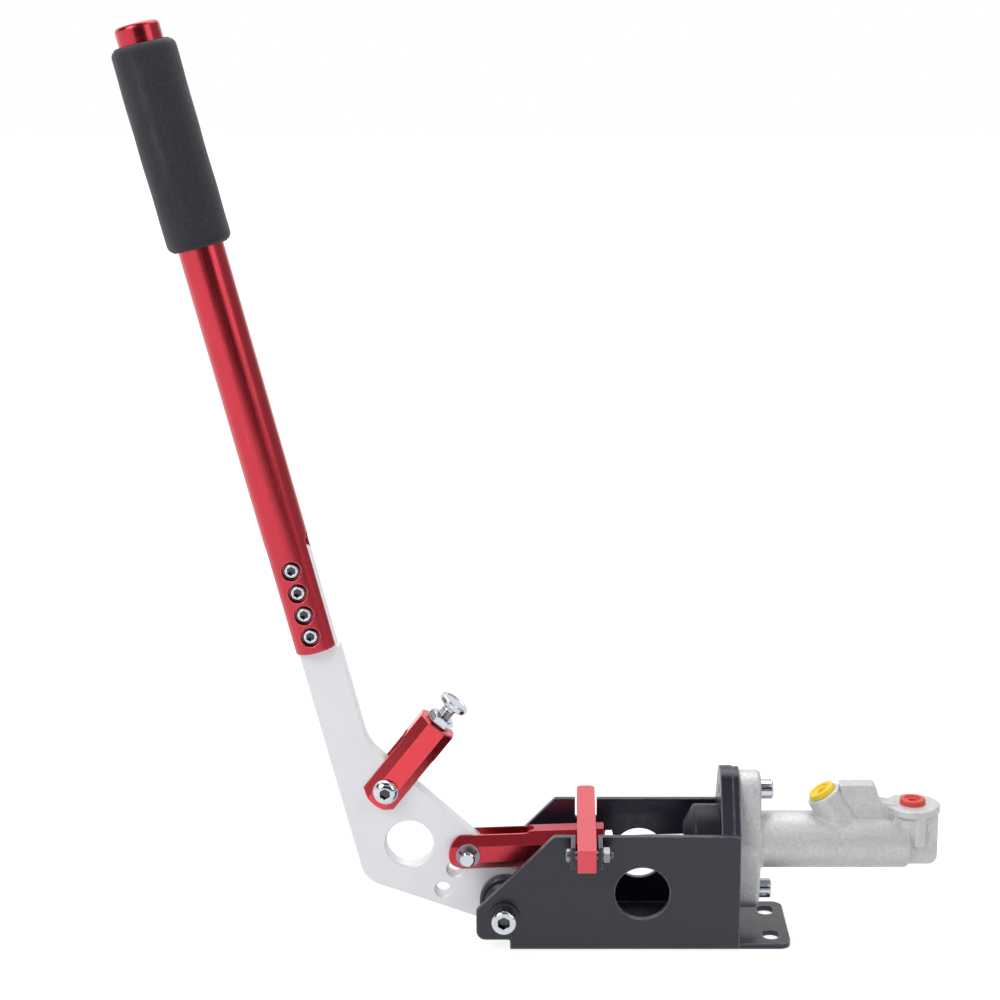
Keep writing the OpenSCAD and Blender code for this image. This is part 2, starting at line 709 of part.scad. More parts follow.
module lever_plate() {
    tang_foot = tube_pos + tang_right * tube_side;
    color([0.82, 0.82, 0.83]) at_pivot() difference() {
        slab_y(plate_t) difference() {
            polygon(rounded(concat([add_r(tube_pos + tang_left * tube_side + tang_top * tube_dir, 3),
                add_r(tang_foot + tang_top * tube_dir, 3), add_r(tang_foot - 0.4 * tube_dir, 0),
                add_r(right_foot - 0.4 * tube_dir, 1), add_r(plate_inside, plate_inside_r)],
                [for (p = arc([0, 0], plate_end_r, 90 - top_edge_deg,
                    top_edge_deg - low_edge_deg - 180)) add_r(p, 0)],
                [add_r(plate_low_left, plate_corner_r)])));
            circle(d = bush_spigot_d);
            translate(big_hole_pos) circle(d = big_hole_d);
            translate(arm_pos) circle(d = arm_bolt_d + 2 * run_fit);
            for (i = [0:2]) {
                rotate(pin_bearings[i]) translate([pin_radii[i], 0]) circle(d = pin_d + 2 * run_fit);
            }
            for (i = [0:3]) {
                translate(tube_pos + (screw_start + i * screw_pitch) * tube_dir)
                    circle(d = screw_d + 2 * hole_fit);
            }
        }
        // countersunk rims of the free pin holes and of the large hole
        for (i = [1:2]) {
            rotate([0, -pin_bearings[i], 0]) translate([pin_radii[i], 0, 0]) rim_cuts(pin_d, 0.7);
        }
        translate([big_hole_pos.x, 0, big_hole_pos.y]) rim_cuts(big_hole_d, 0.6);
    }
}
module rim_cuts(d, c) {
    for (s = [0, 180]) {
        rotate([s, 0, 0]) lathe_y([[plate_t / 2 - c, 0], [plate_t / 2 - c, d / 2], [plate_t / 2 + c,
            d / 2 + 2 * c],
            [plate_t / 2 + c, 0]]);
    }
}
module pivot_bushes() {
    p = plate_t / 2;
    b = sleeve_d / 2 + run_fit;
    f = bush_flange_d / 2;
    h = bush_hub_d / 2;
    color([0.11, 0.11, 0.12]) at_pivot() for (s = [0, 180]) {
        rotate([s, 0, 0]) lathe_y([[0.1, b], [0.1, bush_spigot_d / 2 - seat_fit], [p,
            bush_spigot_d / 2 - seat_fit],
            [p, f - 0.6], [p + 0.6, f], [p + bush_flange_t - 1, f], [p + bush_flange_t, f - 1],
            [p + bush_flange_t, h + 1.6], [p + bush_flange_t + 1.6, h], [p + bush_len, h], [p + bush_len,
                b]]);
    }
}

module handle_tube() {
    r = tube_d / 2;
    s = clevis_w / 2 - 0.15;
    color([0.72, 0.08, 0.12]) at_tube() difference() {
        rotate_extrude() polygon([[0, 0], [r - 1.2, 0], [r - 0.35, 0.35], [r, 1.2], [r, tube_len - 0.6],
            [r - 0.6, tube_len], [tube_bore / 2, tube_len], [tube_bore / 2, tube_solid], [0,
                tube_solid - 4]]);
        translate([-tube_d, -s, -1]) cube([2 * tube_d, 2 * s, tube_slot - s + 1]);
        translate([0, 0, tube_slot - s]) rod_x(2 * s, -tube_d, 2 * tube_d);
        for (i = [0:3]) {
            translate([0, 0, screw_start + i * screw_pitch]) {
                rod_y(screw_d + 2 * hole_fit, -tube_d, 2 * tube_d);
                rod_y(screw_head_d + 1.9, -tube_d - screw_seat, tube_d);
            }
        }
    }
}
module handle_screws() {
    color([0.76, 0.76, 0.78]) at_tube() for (i = [0:3]) {
        translate([0, -screw_seat, screw_start + i * screw_pitch]) rotate([-90, 0, 0])
            socket_screw(screw_d, screw_head_d, screw_head_h, screw_seat + screw_end, 4);
    }
}
module foam_grip() {
    r = foam_d / 2;
    bore = tube_d / 2 + seat_fit;
    color([0.13, 0.13, 0.14]) at_tube() translate([0, 0, foam_start]) rotate_extrude()
        polygon(concat([[bore, 0]], arc([r - foam_r, foam_r], foam_r, -90, 90),
            arc([r - foam_r, foam_len - foam_r], foam_r, 0, 90), [[bore, foam_len]]));
}
module end_cap() {
    r = cap_d / 2;
    stem = tube_bore / 2 - seat_fit;
    color([0.74, 0.09, 0.13]) at_tube() rotate_extrude() polygon(concat([[0, tube_len - cap_stem],
        [stem - 1, tube_len - cap_stem], [stem, tube_len - cap_stem + 1], [stem, tube_len], [r, tube_len]],
        arc([r - cap_r, cap_top - cap_r], cap_r, 0, 70), [[0, cap_top]]));
}

// eight-sided bar on X with its pin at 0: a crowned end, a slot for the plate and a threaded far end
module clevis_bar(w, c, l, slot, pin, thread, thread_start, back, crown) {
    e = 1;
    difference() {
        intersection() {
            slab_x(-back, l + back) eight_sided(w, c);
            union() {
                translate([crown - back, 0, 0]) rod_y(2 * crown, -w, 2 * w);
                translate([crown - back, -w, -w / 2]) cube([l + back - crown, 2 * w, w]);
            }
            // chamfered rim of the square end
            lathe_x([[-w, 0], [-w, w], [l - e - 2.8, w], [l, w / 2 - e + 0.8], [l, 0]]);
        }
        translate([-w, -clevis_w / 2, -w]) cube([w + slot - clevis_w / 2, clevis_w, 2 * w]);
        translate([slot - clevis_w / 2, 0, -w]) cylinder(d = clevis_w, h = 2 * w);
        rod_y(pin, -w, 2 * w);
        rod_x(thread, thread_start, l);
    }
}
module push_link() {
    color([0.72, 0.08, 0.12]) at_link()
        clevis_bar(link_w, link_chamfer, link_bar_len, link_slot, pin_d + 2 * seat_fit,
            rod_d + 2 * seat_fit,
            rod_start - 1, link_w / 2, link_w / 2);
}
module clevis_pin() {
    r = pin_d / 2;
    g = link_w / 2 + 0.05;
    near = g + 7.4;
    far = g + 3.4;
    color([0.74, 0.74, 0.76]) at_link() lathe_y([[-near, 0], [-near, r - 0.8], [0.8 - near, r],
        [-g - clip_t - 0.1, r],
        [-g - clip_t - 0.1, r - 0.9], [-g, r - 0.9], [-g, r], [g, r], [g, r - 0.9], [g + clip_t + 0.1,
            r - 0.9],
        [g + clip_t + 0.1, r], [far - 0.8, r], [far, r - 0.8], [far, 0]]);
}
module pin_clips() {
    r = pin_d / 2;
    g = link_w / 2 + 0.1;
    color([0.42, 0.42, 0.45]) at_link() for (y = [-g - clip_t, g]) {
        difference() {
            rod_y(pin_d + 5, y, clip_t);
            rod_y(pin_d - 1.8 + 2 * seat_fit, y - 1, 3);
            translate([-0.7 * r, y - 1, -pin_d]) cube([1.4 * r, 3, pin_d]);
            for (a = [30, 150]) {
                rotate([0, a, 0]) translate([-r - 0.5, 0, 0]) rod_y(2.2, y - 1, 3);
            }
        }
    }
}
module push_rod() {
    r = rod_d / 2;
    b = ball_d / 2;
    neck = r - 0.6;
    a = asin(neck / b);
    color([0.75, 0.75, 0.77]) at_link() lathe_x(concat([[rod_start, 0], [rod_start, r - 0.8],
        [rod_start + 0.8, r],
        [link_len - b - 4, r], [link_len - b - 2, neck]], arc([link_len, 0], b, 180 - a, a - 180)));
}
module rod_nut() {
    color([0.76, 0.76, 0.78]) at_link() translate([link_bar_len, 0, 0]) rotate([0, 90, 0])
        nut(nut_af, rod_nut_h, rod_d + 2 * seat_fit);
}
module piston() {
    r = piston_d / 2;
    g = seal_groove_d / 2;
    c = cup_d / 2;
    cup = ball_pos.x - flange_x + ball_d / 2 + 0.4;
    color([0.7, 0.66, 0.5]) at_cylinder() lathe_x([[piston_rear, c], [piston_rear, r - 0.6],
        [piston_rear + 0.6, r],
        [seal_x[0], r], [seal_x[0], g], [seal_x[0] + seal_t, g], [seal_x[0] + seal_t, r], [seal_x[1], r],
            [seal_x[1], g],
        [seal_x[1] + seal_t, g], [seal_x[1] + seal_t, r], [piston_front - 0.6, r], [piston_front, r - 0.6],
        [piston_front, 0], [cup, 0], [cup - 0.3, c]]);
}
module piston_seals() {
    color([0.09, 0.09, 0.1]) at_cylinder() for (x = seal_x) {
        lathe_x([[x + 0.1, seal_groove_d / 2 + seat_fit], [x + 0.1, piston_d / 2 - 0.3],
            [x + seal_t - 0.8, piston_d / 2 + 0.03],
            [x + seal_t - 0.1, piston_d / 2 + 0.03], [x + seal_t - 0.1, seal_groove_d / 2 + seat_fit]]);
    }
}

module hold_arm() {
    color([0.73, 0.08, 0.12]) at_arm()
        clevis_bar(arm_w, arm_chamfer, arm_len, arm_slot, arm_bolt_d + 2 * seat_fit, rod_d + 2 * seat_fit,
            arm_slot + 2, arm_back, arm_crown);
}
module arm_bolt() {
    r = arm_bolt_d / 2;
    h = r * 1.75;
    g = arm_w / 2;
    end = g + arm_nut_h + 1.5;
    color([0.78, 0.78, 0.8]) at_arm() difference() {
        lathe_y([[-g - 4.2, 0], [-g - 4.2, 0.5 * h], [-g - 3.4, 0.74 * h], [-g - 2, 0.92 * h], [-g - 0.5,
            h], [-g, h], [-g, r],
            [end - 1, r], [end, r - 1], [end, 0]]);
        translate([0, -g - 5, 0]) rotate([-90, 0, 0]) cylinder(d = 5 / cos(30), h = 3.6, $fn = 6);
    }
}
module arm_nut() {
    color([0.74, 0.74, 0.76]) at_arm() translate([0, arm_w / 2, 0]) rotate([-90, 0, 0])
        nut(nut_af, arm_nut_h, arm_bolt_d + 2 * seat_fit);
}
module adjuster() {
    r = rod_d / 2;
    h = adjuster_head_d / 2;
    x = arm_len + adjuster_reach;
    t = adjuster_head_t;
    color([0.8, 0.8, 0.82]) at_arm() lathe_x([[arm_slot + 3, 0], [arm_slot + 3, r - 0.8], [arm_slot + 3.8,
        r],
        [x - 1.2, r], [x, r + 1.2], [x, h - 0.5], [x + 0.5, h], [x + t - 0.6, h], [x + t, h - 0.6],
        [x + t, h - 2.2], [x + t - 0.4, h - 2.8], [x + t - 0.4, 0]]);
}
module adjuster_nut() {
    color([0.76, 0.76, 0.78]) at_arm() translate([arm_len, 0, 0]) rotate([0, 90, 0])
        nut(nut_af, adjuster_nut_h, rod_d + 2 * seat_fit);
}

// bar across the walls, arched underneath so that the link passes in its whole travel
module cross_bar() {
    h = bar_w / 2;
    y0 = -wall_y - bar_near;
    y1 = wall_y + bar_far;
    side = link_w / 2 + 1.2;
    flat = link_w / 2 - link_chamfer + 0.6;
    color([0.76, 0.12, 0.17]) at_pivot() translate([bar_x, 0, 0]) difference() {
        translate([0, 0, bar_low_z]) linear_extrude(bar_h) polygon(rounded([[-h, y0, 0.8], [h, y0, 0.8],
            [h, y1, 3.5], [-h, y1, 3.5]]));
        slab_x(-h - 1, bar_w + 2) polygon([[-side, bar_low_z - 1], [side, bar_low_z - 1], [side,
            link_high_z - side + flat],
            [flat, link_high_z], [-flat, link_high_z], [-side, link_high_z - side + flat]]);
        translate([0, hinge_y, hinge_z]) rod_x(hinge_d + 2 * run_fit, -bar_w, 2 * bar_w);
    }
}

base_channel();
hinge_lugs();
end_plate();
adapter_plate();
pivot_bolt();
pivot_washers();
pivot_nut();
pivot_sleeve();
cylinder_body();
flange_screws();
dust_boot();
inlet_plug();
outlet_plug();
end_plug();
stop_washer();
circlip();
return_spring();
hinge_bolt();
hinge_nut();
lever_plate();
pivot_bushes();
handle_tube();
handle_screws();
foam_grip();
end_cap();
push_link();
clevis_pin();
pin_clips();
push_rod();
rod_nut();
piston();
piston_seals();
hold_arm();
arm_bolt();
arm_nut();
adjuster();
adjuster_nut();
cross_bar();
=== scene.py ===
"""Looks of a hydraulic hand brake lever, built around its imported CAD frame.

Objects are in metres in the frame of the part: X runs from the lever to the master cylinder, Z is up
and the origin is on the underside of the base. The fields of the classes that make pieces are in
millimetres and degrees.
"""

from __future__ import annotations

import logging
import math
from dataclasses import dataclass, field
from enum import Enum

import bmesh
import bpy
import numpy as np
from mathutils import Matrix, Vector

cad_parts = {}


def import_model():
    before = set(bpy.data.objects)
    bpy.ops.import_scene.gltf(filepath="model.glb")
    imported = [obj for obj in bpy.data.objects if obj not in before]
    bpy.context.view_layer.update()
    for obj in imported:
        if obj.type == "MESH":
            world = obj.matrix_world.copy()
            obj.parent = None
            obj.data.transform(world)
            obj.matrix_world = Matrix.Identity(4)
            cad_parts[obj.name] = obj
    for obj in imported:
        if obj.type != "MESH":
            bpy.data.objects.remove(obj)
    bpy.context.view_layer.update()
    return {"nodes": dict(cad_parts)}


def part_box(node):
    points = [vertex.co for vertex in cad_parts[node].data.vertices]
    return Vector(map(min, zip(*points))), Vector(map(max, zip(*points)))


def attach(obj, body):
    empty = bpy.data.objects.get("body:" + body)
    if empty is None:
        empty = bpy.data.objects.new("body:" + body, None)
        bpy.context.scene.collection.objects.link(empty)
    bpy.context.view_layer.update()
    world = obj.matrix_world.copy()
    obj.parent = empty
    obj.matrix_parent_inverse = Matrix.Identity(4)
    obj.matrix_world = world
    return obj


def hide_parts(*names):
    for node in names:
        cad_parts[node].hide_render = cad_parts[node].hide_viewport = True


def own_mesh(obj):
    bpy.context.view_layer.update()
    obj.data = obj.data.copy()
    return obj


LOG = logging.getLogger("hand_brake")
MM = 0.001

# axis of the lever's pivot, from which the places of the mechanism are counted
PIVOT = np.array([-78.5, 0.0, 19.5]) * MM
# lower end of the handle tube from the pivot, and its lean from upright
TUBE_FOOT = (-99.9, 140.2)
HANDLE_LEAN = 14.3
# points closer than this in metres are one, and edges sharper than this stay sharp
WELD = 1e-6
SHARP = math.radians(32)
# how far an eased normal leaves the face's own where an edge begins and where it is full
EDGE_RANGE = (0.02, 0.22)
# depth of a flute as a part of the head's radius, and of a thread as a part of its pitch
FLUTE_DEPTH = 0.035
THREAD_DEPTH = 0.58

Colour = tuple[float, float, float]
Point = tuple[float, float, float]
Pair = tuple[float, float]
Profile = list[Pair]
Socket = bpy.types.NodeSocket


class Grain(Enum):
    """How the fine marks of a metal finish run: the stretch of their pattern along each axis."""

    EVEN = (1, 1, 1)
    TURNED = (0.05, 0.05, 1)
    DRAWN = (1, 1, 0.02)


def tinted(colour: Colour, factor: float) -> Colour:
    """Return a colour times a factor, at most white."""
    return tuple(min(1.0, c * factor) for c in colour)


class Sketch:
    """A material's node tree, with short calls for the nodes that the finishes share."""

    def __init__(self, name: str) -> None:
        """Start a material with one Principled shader and Object coordinates.

        Args:
            name: Name of the material.
        """
        self.material = bpy.data.materials.new(name)
        self.material.use_nodes = True
        self.tree = self.material.node_tree
        self.tree.nodes.clear()
        self.out = self.tree.nodes.new("ShaderNodeOutputMaterial")
        self.shader = self.tree.nodes.new("ShaderNodeBsdfPrincipled")
        self.tree.links.new(self.shader.outputs[0], self.out.inputs[0])
        self.coords = self.tree.nodes.new("ShaderNodeTexCoord").outputs["Object"]

    def add(self, kind: str, **settings: object) -> bpy.types.Node:
        """Add a node and set its plain attributes.

        Args:
            kind: Node type without the ShaderNode prefix.
            settings: Attributes to set on the node.

        Returns:
            The new node.
        """
        node = self.tree.nodes.new("ShaderNode" + kind)
        for key, value in settings.items():
            setattr(node, key, value)
        return node

    def plug(self, socket: Socket, value: object) -> None:
        """Link an output to a socket, or set the socket when the value is plain.

        Args:
            socket: Input socket.
            value: Output socket, number or vector.
        """
        if isinstance(value, Socket):
            self.tree.links.new(value, socket)
        else:
            socket.default_value = value

    def set(self, name: str, value: object) -> None:
        """Set or link one input of the Principled shader, where a tuple is a colour."""
        self.plug(self.shader.inputs[name], (*value, 1.0) if isinstance(value, tuple) else value)

    def math(self, operation: str, a: object, b: object = 0.0) -> Socket:
        """Work out one Math node.

        Args:
            operation: Name of the operation.
            a: First value or socket.
            b: Second value or socket.

        Returns:
            The node's output.
        """
        node = self.add("Math", operation=operation)
        self.plug(node.inputs[0], a)
        self.plug(node.inputs[1], b)
        return node.outputs[0]

    def turned(self, lean: float, stretch: Point) -> Socket:
        """Turn Object coordinates by lean about Y and stretch them, for marks that follow a piece.

        Args:
            lean: Turn about Y in radians.
            stretch: Scale along each turned axis.

        Returns:
            The vector output.
        """
        turn = self.add("VectorRotate", rotation_type="Y_AXIS")
        self.plug(turn.inputs["Vector"], self.coords)
        turn.inputs["Angle"].default_value = lean
        scale = self.add("VectorMath", operation="MULTIPLY")
        self.plug(scale.inputs[0], turn.outputs[0])
        scale.inputs[1].default_value = stretch
        return scale.outputs[0]

    def noise(self, scale: float, detail: float = 4.0, rough: float = 0.55, vector: object = None) -> Socket:
        """Make a noise texture.

        Args:
            scale: Scale of the pattern, per metre.
            detail: Number of finer layers.
            rough: Strength of the finer layers.
            vector: Coordinates, or None for the part's own metres.

        Returns:
            The noise value.
        """
        node = self.add("TexNoise")
        self.plug(node.inputs["Vector"], self.coords if vector is None else vector)
        node.inputs["Scale"].default_value = scale
        node.inputs["Detail"].default_value = detail
        node.inputs["Roughness"].default_value = rough
        return node.outputs["Fac"]

    def cells(self, scale: float) -> Socket:
        """Make a pattern of cells.

        Args:
            scale: Scale of the pattern, per metre.

        Returns:
            The distance from the middle of the nearest cell.
        """
        node = self.add("TexVoronoi")
        self.plug(node.inputs["Vector"], self.coords)
        node.inputs["Scale"].default_value = scale
        return node.outputs["Distance"]

    def ramp(self, value: object, low: float, high: float, to_low: float = 0.0,
             to_high: float = 1.0) -> Socket:
        """Map a value from one range to another and clamp it there.

        Args:
            value: Value or socket.
            low: Value that becomes to_low.
            high: Value that becomes to_high.
            to_low: Start of the new range.
            to_high: End of the new range.

        Returns:
            The mapped value.
        """
        node = self.add("MapRange", clamp=True)
        for i, v in enumerate((value, low, high, to_low, to_high)):
            self.plug(node.inputs[i], v)
        return node.outputs[0]

    def blend(self, factor: object, a: object, b: object) -> Socket:
        """Mix two colours.

        Args:
            factor: Share of the second colour.
            a: First colour or socket.
            b: Second colour or socket.

        Returns:
            The mixed colour.
        """
        node = self.add("Mix", data_type="RGBA")
        self.plug(node.inputs[0], factor)
        for socket, value in ((node.inputs[6], a), (node.inputs[7], b)):
            self.plug(socket, (*value, 1.0) if isinstance(value, tuple) else value)
        return node.outputs[2]

    def rounded(self, radius: float) -> Socket:
        """Ease every edge in the shading.

        Args:
            radius: Radius of the eased edge in metres.

        Returns:
            Normals that run round the edges.
        """
        node = self.add("Bevel", samples=6)
        node.inputs["Radius"].default_value = radius
        return node.outputs[0]

    def edges(self, radius: float) -> Socket:
        """Find the edges: how far the eased normal leaves the face's own.

        Args:
            radius: Reach from an edge in metres.

        Returns:
            A mask that is 1 along edges.
        """
        flat = self.add("NewGeometry").outputs["Normal"]
        dot = self.add("VectorMath", operation="DOT_PRODUCT")
        self.plug(dot.inputs[0], self.rounded(radius))
        self.plug(dot.inputs[1], flat)
        away = self.math("SUBTRACT", 1.0, dot.outputs["Value"])
        return self.ramp(away, *EDGE_RANGE)

    def bump(self, height: object, strength: float, distance: float, normal: object = None) -> Socket:
        """Raise a pattern in the shading.

        Args:
            height: Pattern.
            strength: Strength, 0 to 1.
            distance: Height of the pattern in metres.
            normal: Normals to start from, or None for the surface's own.

        Returns:
            The bumped normals.
        """
        node = self.add("Bump")
        node.inputs["Strength"].default_value = strength
        node.inputs["Distance"].default_value = distance
        self.plug(node.inputs["Height"], height)
        if normal is not None:
            self.plug(node.inputs["Normal"], normal)
        return node.outputs[0]


@dataclass(frozen=True)
class PowderCoat:
    """Satin powder coat on sheet steel: orange peel, dust in the grain and paler edges, partly rubbed wear and
    partly painted highlight.
    """

    name: str
    colour: Colour = (0.010, 0.010, 0.022)
    # colour of rubbed edges, which is partly wear and partly painted highlight along them
    rub: Colour = (0.30, 0.30, 0.35)
    gloss: float = 0.33
    clear: float = 0.15
    clear_gloss: float = 0.14

    def material(self) -> bpy.types.Material:
        """Make the finish.

        Returns:
            The material.
        """
        s = Sketch(self.name)
        # paler edges: partly rubbed wear and partly painted highlight
        edge_rub_and_highlight = s.math("MULTIPLY", s.edges(0.0015), s.ramp(s.noise(160, 5), 0.26, 0.6, 0.3, 1.0))
        dust = s.ramp(s.noise(1500, 2), 0.68, 0.76, 0.0, 0.12)
        cloud = s.blend(s.noise(55, 4), self.colour, tinted(self.colour, 1.35))
        s.set("Base Color", s.blend(edge_rub_and_highlight, s.blend(dust, cloud, self.rub), self.rub))
        s.set("Roughness", s.ramp(s.noise(210, 5), 0.25, 0.75, self.gloss - 0.05, self.gloss + 0.09))
        s.set("Coat Weight", self.clear)
        s.set("Coat Roughness", self.clear_gloss)
        s.set("Normal", s.bump(s.noise(1500, 2), 0.10, 0.0002, s.rounded(0.0010)))
        return s.material


@dataclass(frozen=True)
class Anodised:
    """Dyed anodised aluminium: deep metallic colour with fine tool marks and paler edges that are partly wear
    and partly painted highlight.
    """

    name: str
    colour: Colour = (0.56, 0.036, 0.056)
    # paler colour of scratches and of edges; on edges it is partly wear and partly painted highlight
    pale: Colour = (0.86, 0.30, 0.33)
    grain: Grain = Grain.DRAWN
    lean: float = 0.0
    gloss: float = 0.24
    flecks: float = 0.25
    metal: float = 0.94
    clear: float = 0.3
    clear_gloss: float = 0.2

    def material(self) -> bpy.types.Material:
        """Make the finish.

        Returns:
            The material.
        """
        s = Sketch(self.name)
        along = s.turned(math.radians(self.lean), self.grain.value)
        marks = s.noise(2600, 3, 0.6, along)
        scratch = s.ramp(s.noise(900, 5, 0.7, along), 0.64, 0.72, 0.0, self.flecks)
        tone = s.blend(s.noise(40, 3), self.colour, tinted(self.colour, 0.84))
        # paler edges: partly edge wear and partly painted highlight
        edge_wear_and_highlight = s.math("MULTIPLY", s.edges(0.0009), 0.55)
        s.set("Base Color", s.blend(s.math("MAXIMUM", edge_wear_and_highlight, scratch), tone, self.pale))
        s.set("Metallic", self.metal)
        s.set("Coat Weight", self.clear)
        s.set("Coat Roughness", self.clear_gloss)
        s.set("Roughness", s.ramp(marks, 0.3, 0.7, self.gloss - 0.04, self.gloss + 0.08))
        s.set("Normal", s.bump(marks, 0.06, 0.0001, s.rounded(0.0007)))
        return s.material


@dataclass(frozen=True)
class BareMetal:
    """Bare metal: cast, blasted or plated, by the size of its grain and its gloss, with paler edges that are
    partly wear and partly painted highlight.
    """

    name: str
    colour: Colour
    gloss: float
    grain: float
    depth: float
    stain: Colour
    staining: float
    edge: float
    metal: float = 1.0
    mottle: float = 0.04
    specks: float = 0.0
    speck: Colour = (0.97, 0.97, 0.97)
    # colour of the painted shade in sockets, seats and thread roots
    painted_shade: Colour = (0.07, 0.07, 0.078)

    def material(self) -> bpy.types.Material:
        """Make the finish, which is painted darker as shade in recesses by a piece's own attribute for it.

        Returns:
            The material.
        """
        s = Sketch(self.name)
        fine = s.noise(self.grain, 3, 0.6)
        patch = s.ramp(s.noise(70, 6, 0.62), 0.42, 0.75, 0.0, self.staining)
        # paler edges: partly edge wear and partly painted highlight along the eased edges
        bright = s.math("MULTIPLY", s.edges(self.edge * 1.6), 0.8)
        dark, light = tinted(self.colour, 1 - self.mottle), tinted(self.colour, 1 + self.mottle)
        tone = s.blend(s.ramp(s.noise(self.grain * 0.5, 5, 0.7), 0.32, 0.68), dark, light)
        grit = s.ramp(s.noise(self.grain * 0.8, 3), 0.66, 0.73, 0.0, self.specks)
        grey = s.blend(grit, s.blend(patch, tone, self.stain), self.speck)
        edge_wear_and_highlight = s.blend(bright, grey, tuple(min(1.0, c * 1.2 + 0.05) for c in self.colour))
        # painted shade in recesses, read from the piece's own attribute
        recess_shade = s.add("Attribute", attribute_name="recess_shade").outputs["Fac"]
        s.set("Base Color", s.blend(recess_shade, edge_wear_and_highlight, self.painted_shade))
        s.set("Metallic", self.metal)
        rough = s.noise(self.grain * 0.3, 4)
        s.set("Roughness", s.ramp(rough, 0.3, 0.7, self.gloss - 0.07, self.gloss + 0.09))
        s.set("Normal", s.bump(fine, self.depth, 0.0004, s.rounded(self.edge)))
        return s.material


@dataclass(frozen=True)
class Moulded:
    """Moulded plastic or rubber: a faint moulding grain, a dull bloom and paler edges, partly wear and partly
    painted highlight.
    """

    name: str
    colour: Colour
    gloss: float
    bloom: float = 0.15
    grain: float = 900.0
    depth: float = 0.08
    shine: float = 0.5

    def material(self) -> bpy.types.Material:
        """Make the finish.

        Returns:
            The material.
        """
        s = Sketch(self.name)
        haze = s.ramp(s.noise(95, 5), 0.45, 0.8, 0.0, self.bloom)
        pale = tuple(c * 0.75 + 0.09 for c in self.colour)
        # paler edges: partly edge wear and partly painted highlight
        edge_wear_and_highlight = s.math("MULTIPLY", s.edges(0.0007), 0.25)
        s.set("Base Color", s.blend(s.math("MAXIMUM", haze, edge_wear_and_highlight), self.colour, pale))
        s.set("Roughness", s.ramp(s.noise(260, 4), 0.3, 0.7, self.gloss - 0.06, self.gloss + 0.1))
        s.set("Specular IOR Level", self.shine)
        s.set("Normal", s.bump(s.noise(self.grain, 3), self.depth, 0.0003, s.rounded(0.0005)))
        return s.material


@dataclass(frozen=True)
class Foam:
    """Closed-cell foam rubber: open skin pores, scuffs, a pale rub along the grip and a soft sheen.

    The middle of the rub is streak, as X and Z in metres turned upright with the handle.
    """

    name: str
    colour: Colour = (0.019, 0.019, 0.025)
    scuff: Colour = (0.15, 0.15, 0.16)
    lean: float = HANDLE_LEAN
    streak: Pair = (-0.137, 0.487)
    rough: float = 0.85
    sheen: float = 0.35
    sheen_rough: float = 0.5

    def rubbed(self, s: Sketch) -> Socket:
        """Make the pale rub: streaks drawn along the grip, fading beside its line and at its ends.

        Args:
            s: Material.

        Returns:
            A mask of the rub.
        """
        lean = math.radians(self.lean)
        place = s.add("SeparateXYZ")
        s.plug(place.inputs[0], s.turned(lean, Grain.EVEN.value))
        across = s.math("ABSOLUTE", s.math("SUBTRACT", place.outputs["X"], self.streak[0]))
        along = s.math("ABSOLUTE", s.math("SUBTRACT", place.outputs["Z"], self.streak[1]))
        beside = s.ramp(across, 0.0004, 0.0034, 1.0, 0.0)
        near = s.math("MULTIPLY", beside, s.ramp(along, 0.018, 0.042, 1.0, 0.0))
        drawn = s.noise(900, 4, 0.7, s.turned(lean, (1, 1, 0.12)))
        return s.math("MULTIPLY", near, s.ramp(drawn, 0.36, 0.74, 0.0, 0.4))

    def material(self) -> bpy.types.Material:
        """Make the finish.

        Returns:
            The material.
        """
        s = Sketch(self.name)
        pores = s.ramp(s.cells(1500), 0.12, 0.55)
        patches = s.ramp(s.noise(120, 6, 0.7), 0.56, 0.74)
        rub = s.math("MULTIPLY", patches, s.ramp(s.noise(1300, 3), 0.5, 0.7))
        lint = s.ramp(s.noise(1500, 2), 0.74, 0.78, 0.0, 0.7)
        grain = s.ramp(s.noise(620, 5, 0.7), 0.3, 0.7)
        tone = s.blend(grain, tinted(self.colour, 0.8), tinted(self.colour, 1.75))
        pale = s.math("MAXIMUM", self.rubbed(s), lint)
        marks = s.math("MAXIMUM", s.math("MULTIPLY", rub, 0.5), pale)
        s.set("Base Color", s.blend(marks, tone, self.scuff))
        s.set("Roughness", self.rough)
        s.set("Sheen Weight", self.sheen)
        s.set("Sheen Roughness", self.sheen_rough)
        s.set("Normal", s.bump(pores, 0.35, 0.0003, s.bump(s.noise(420, 4), 0.25, 0.0006)))
        return s.material


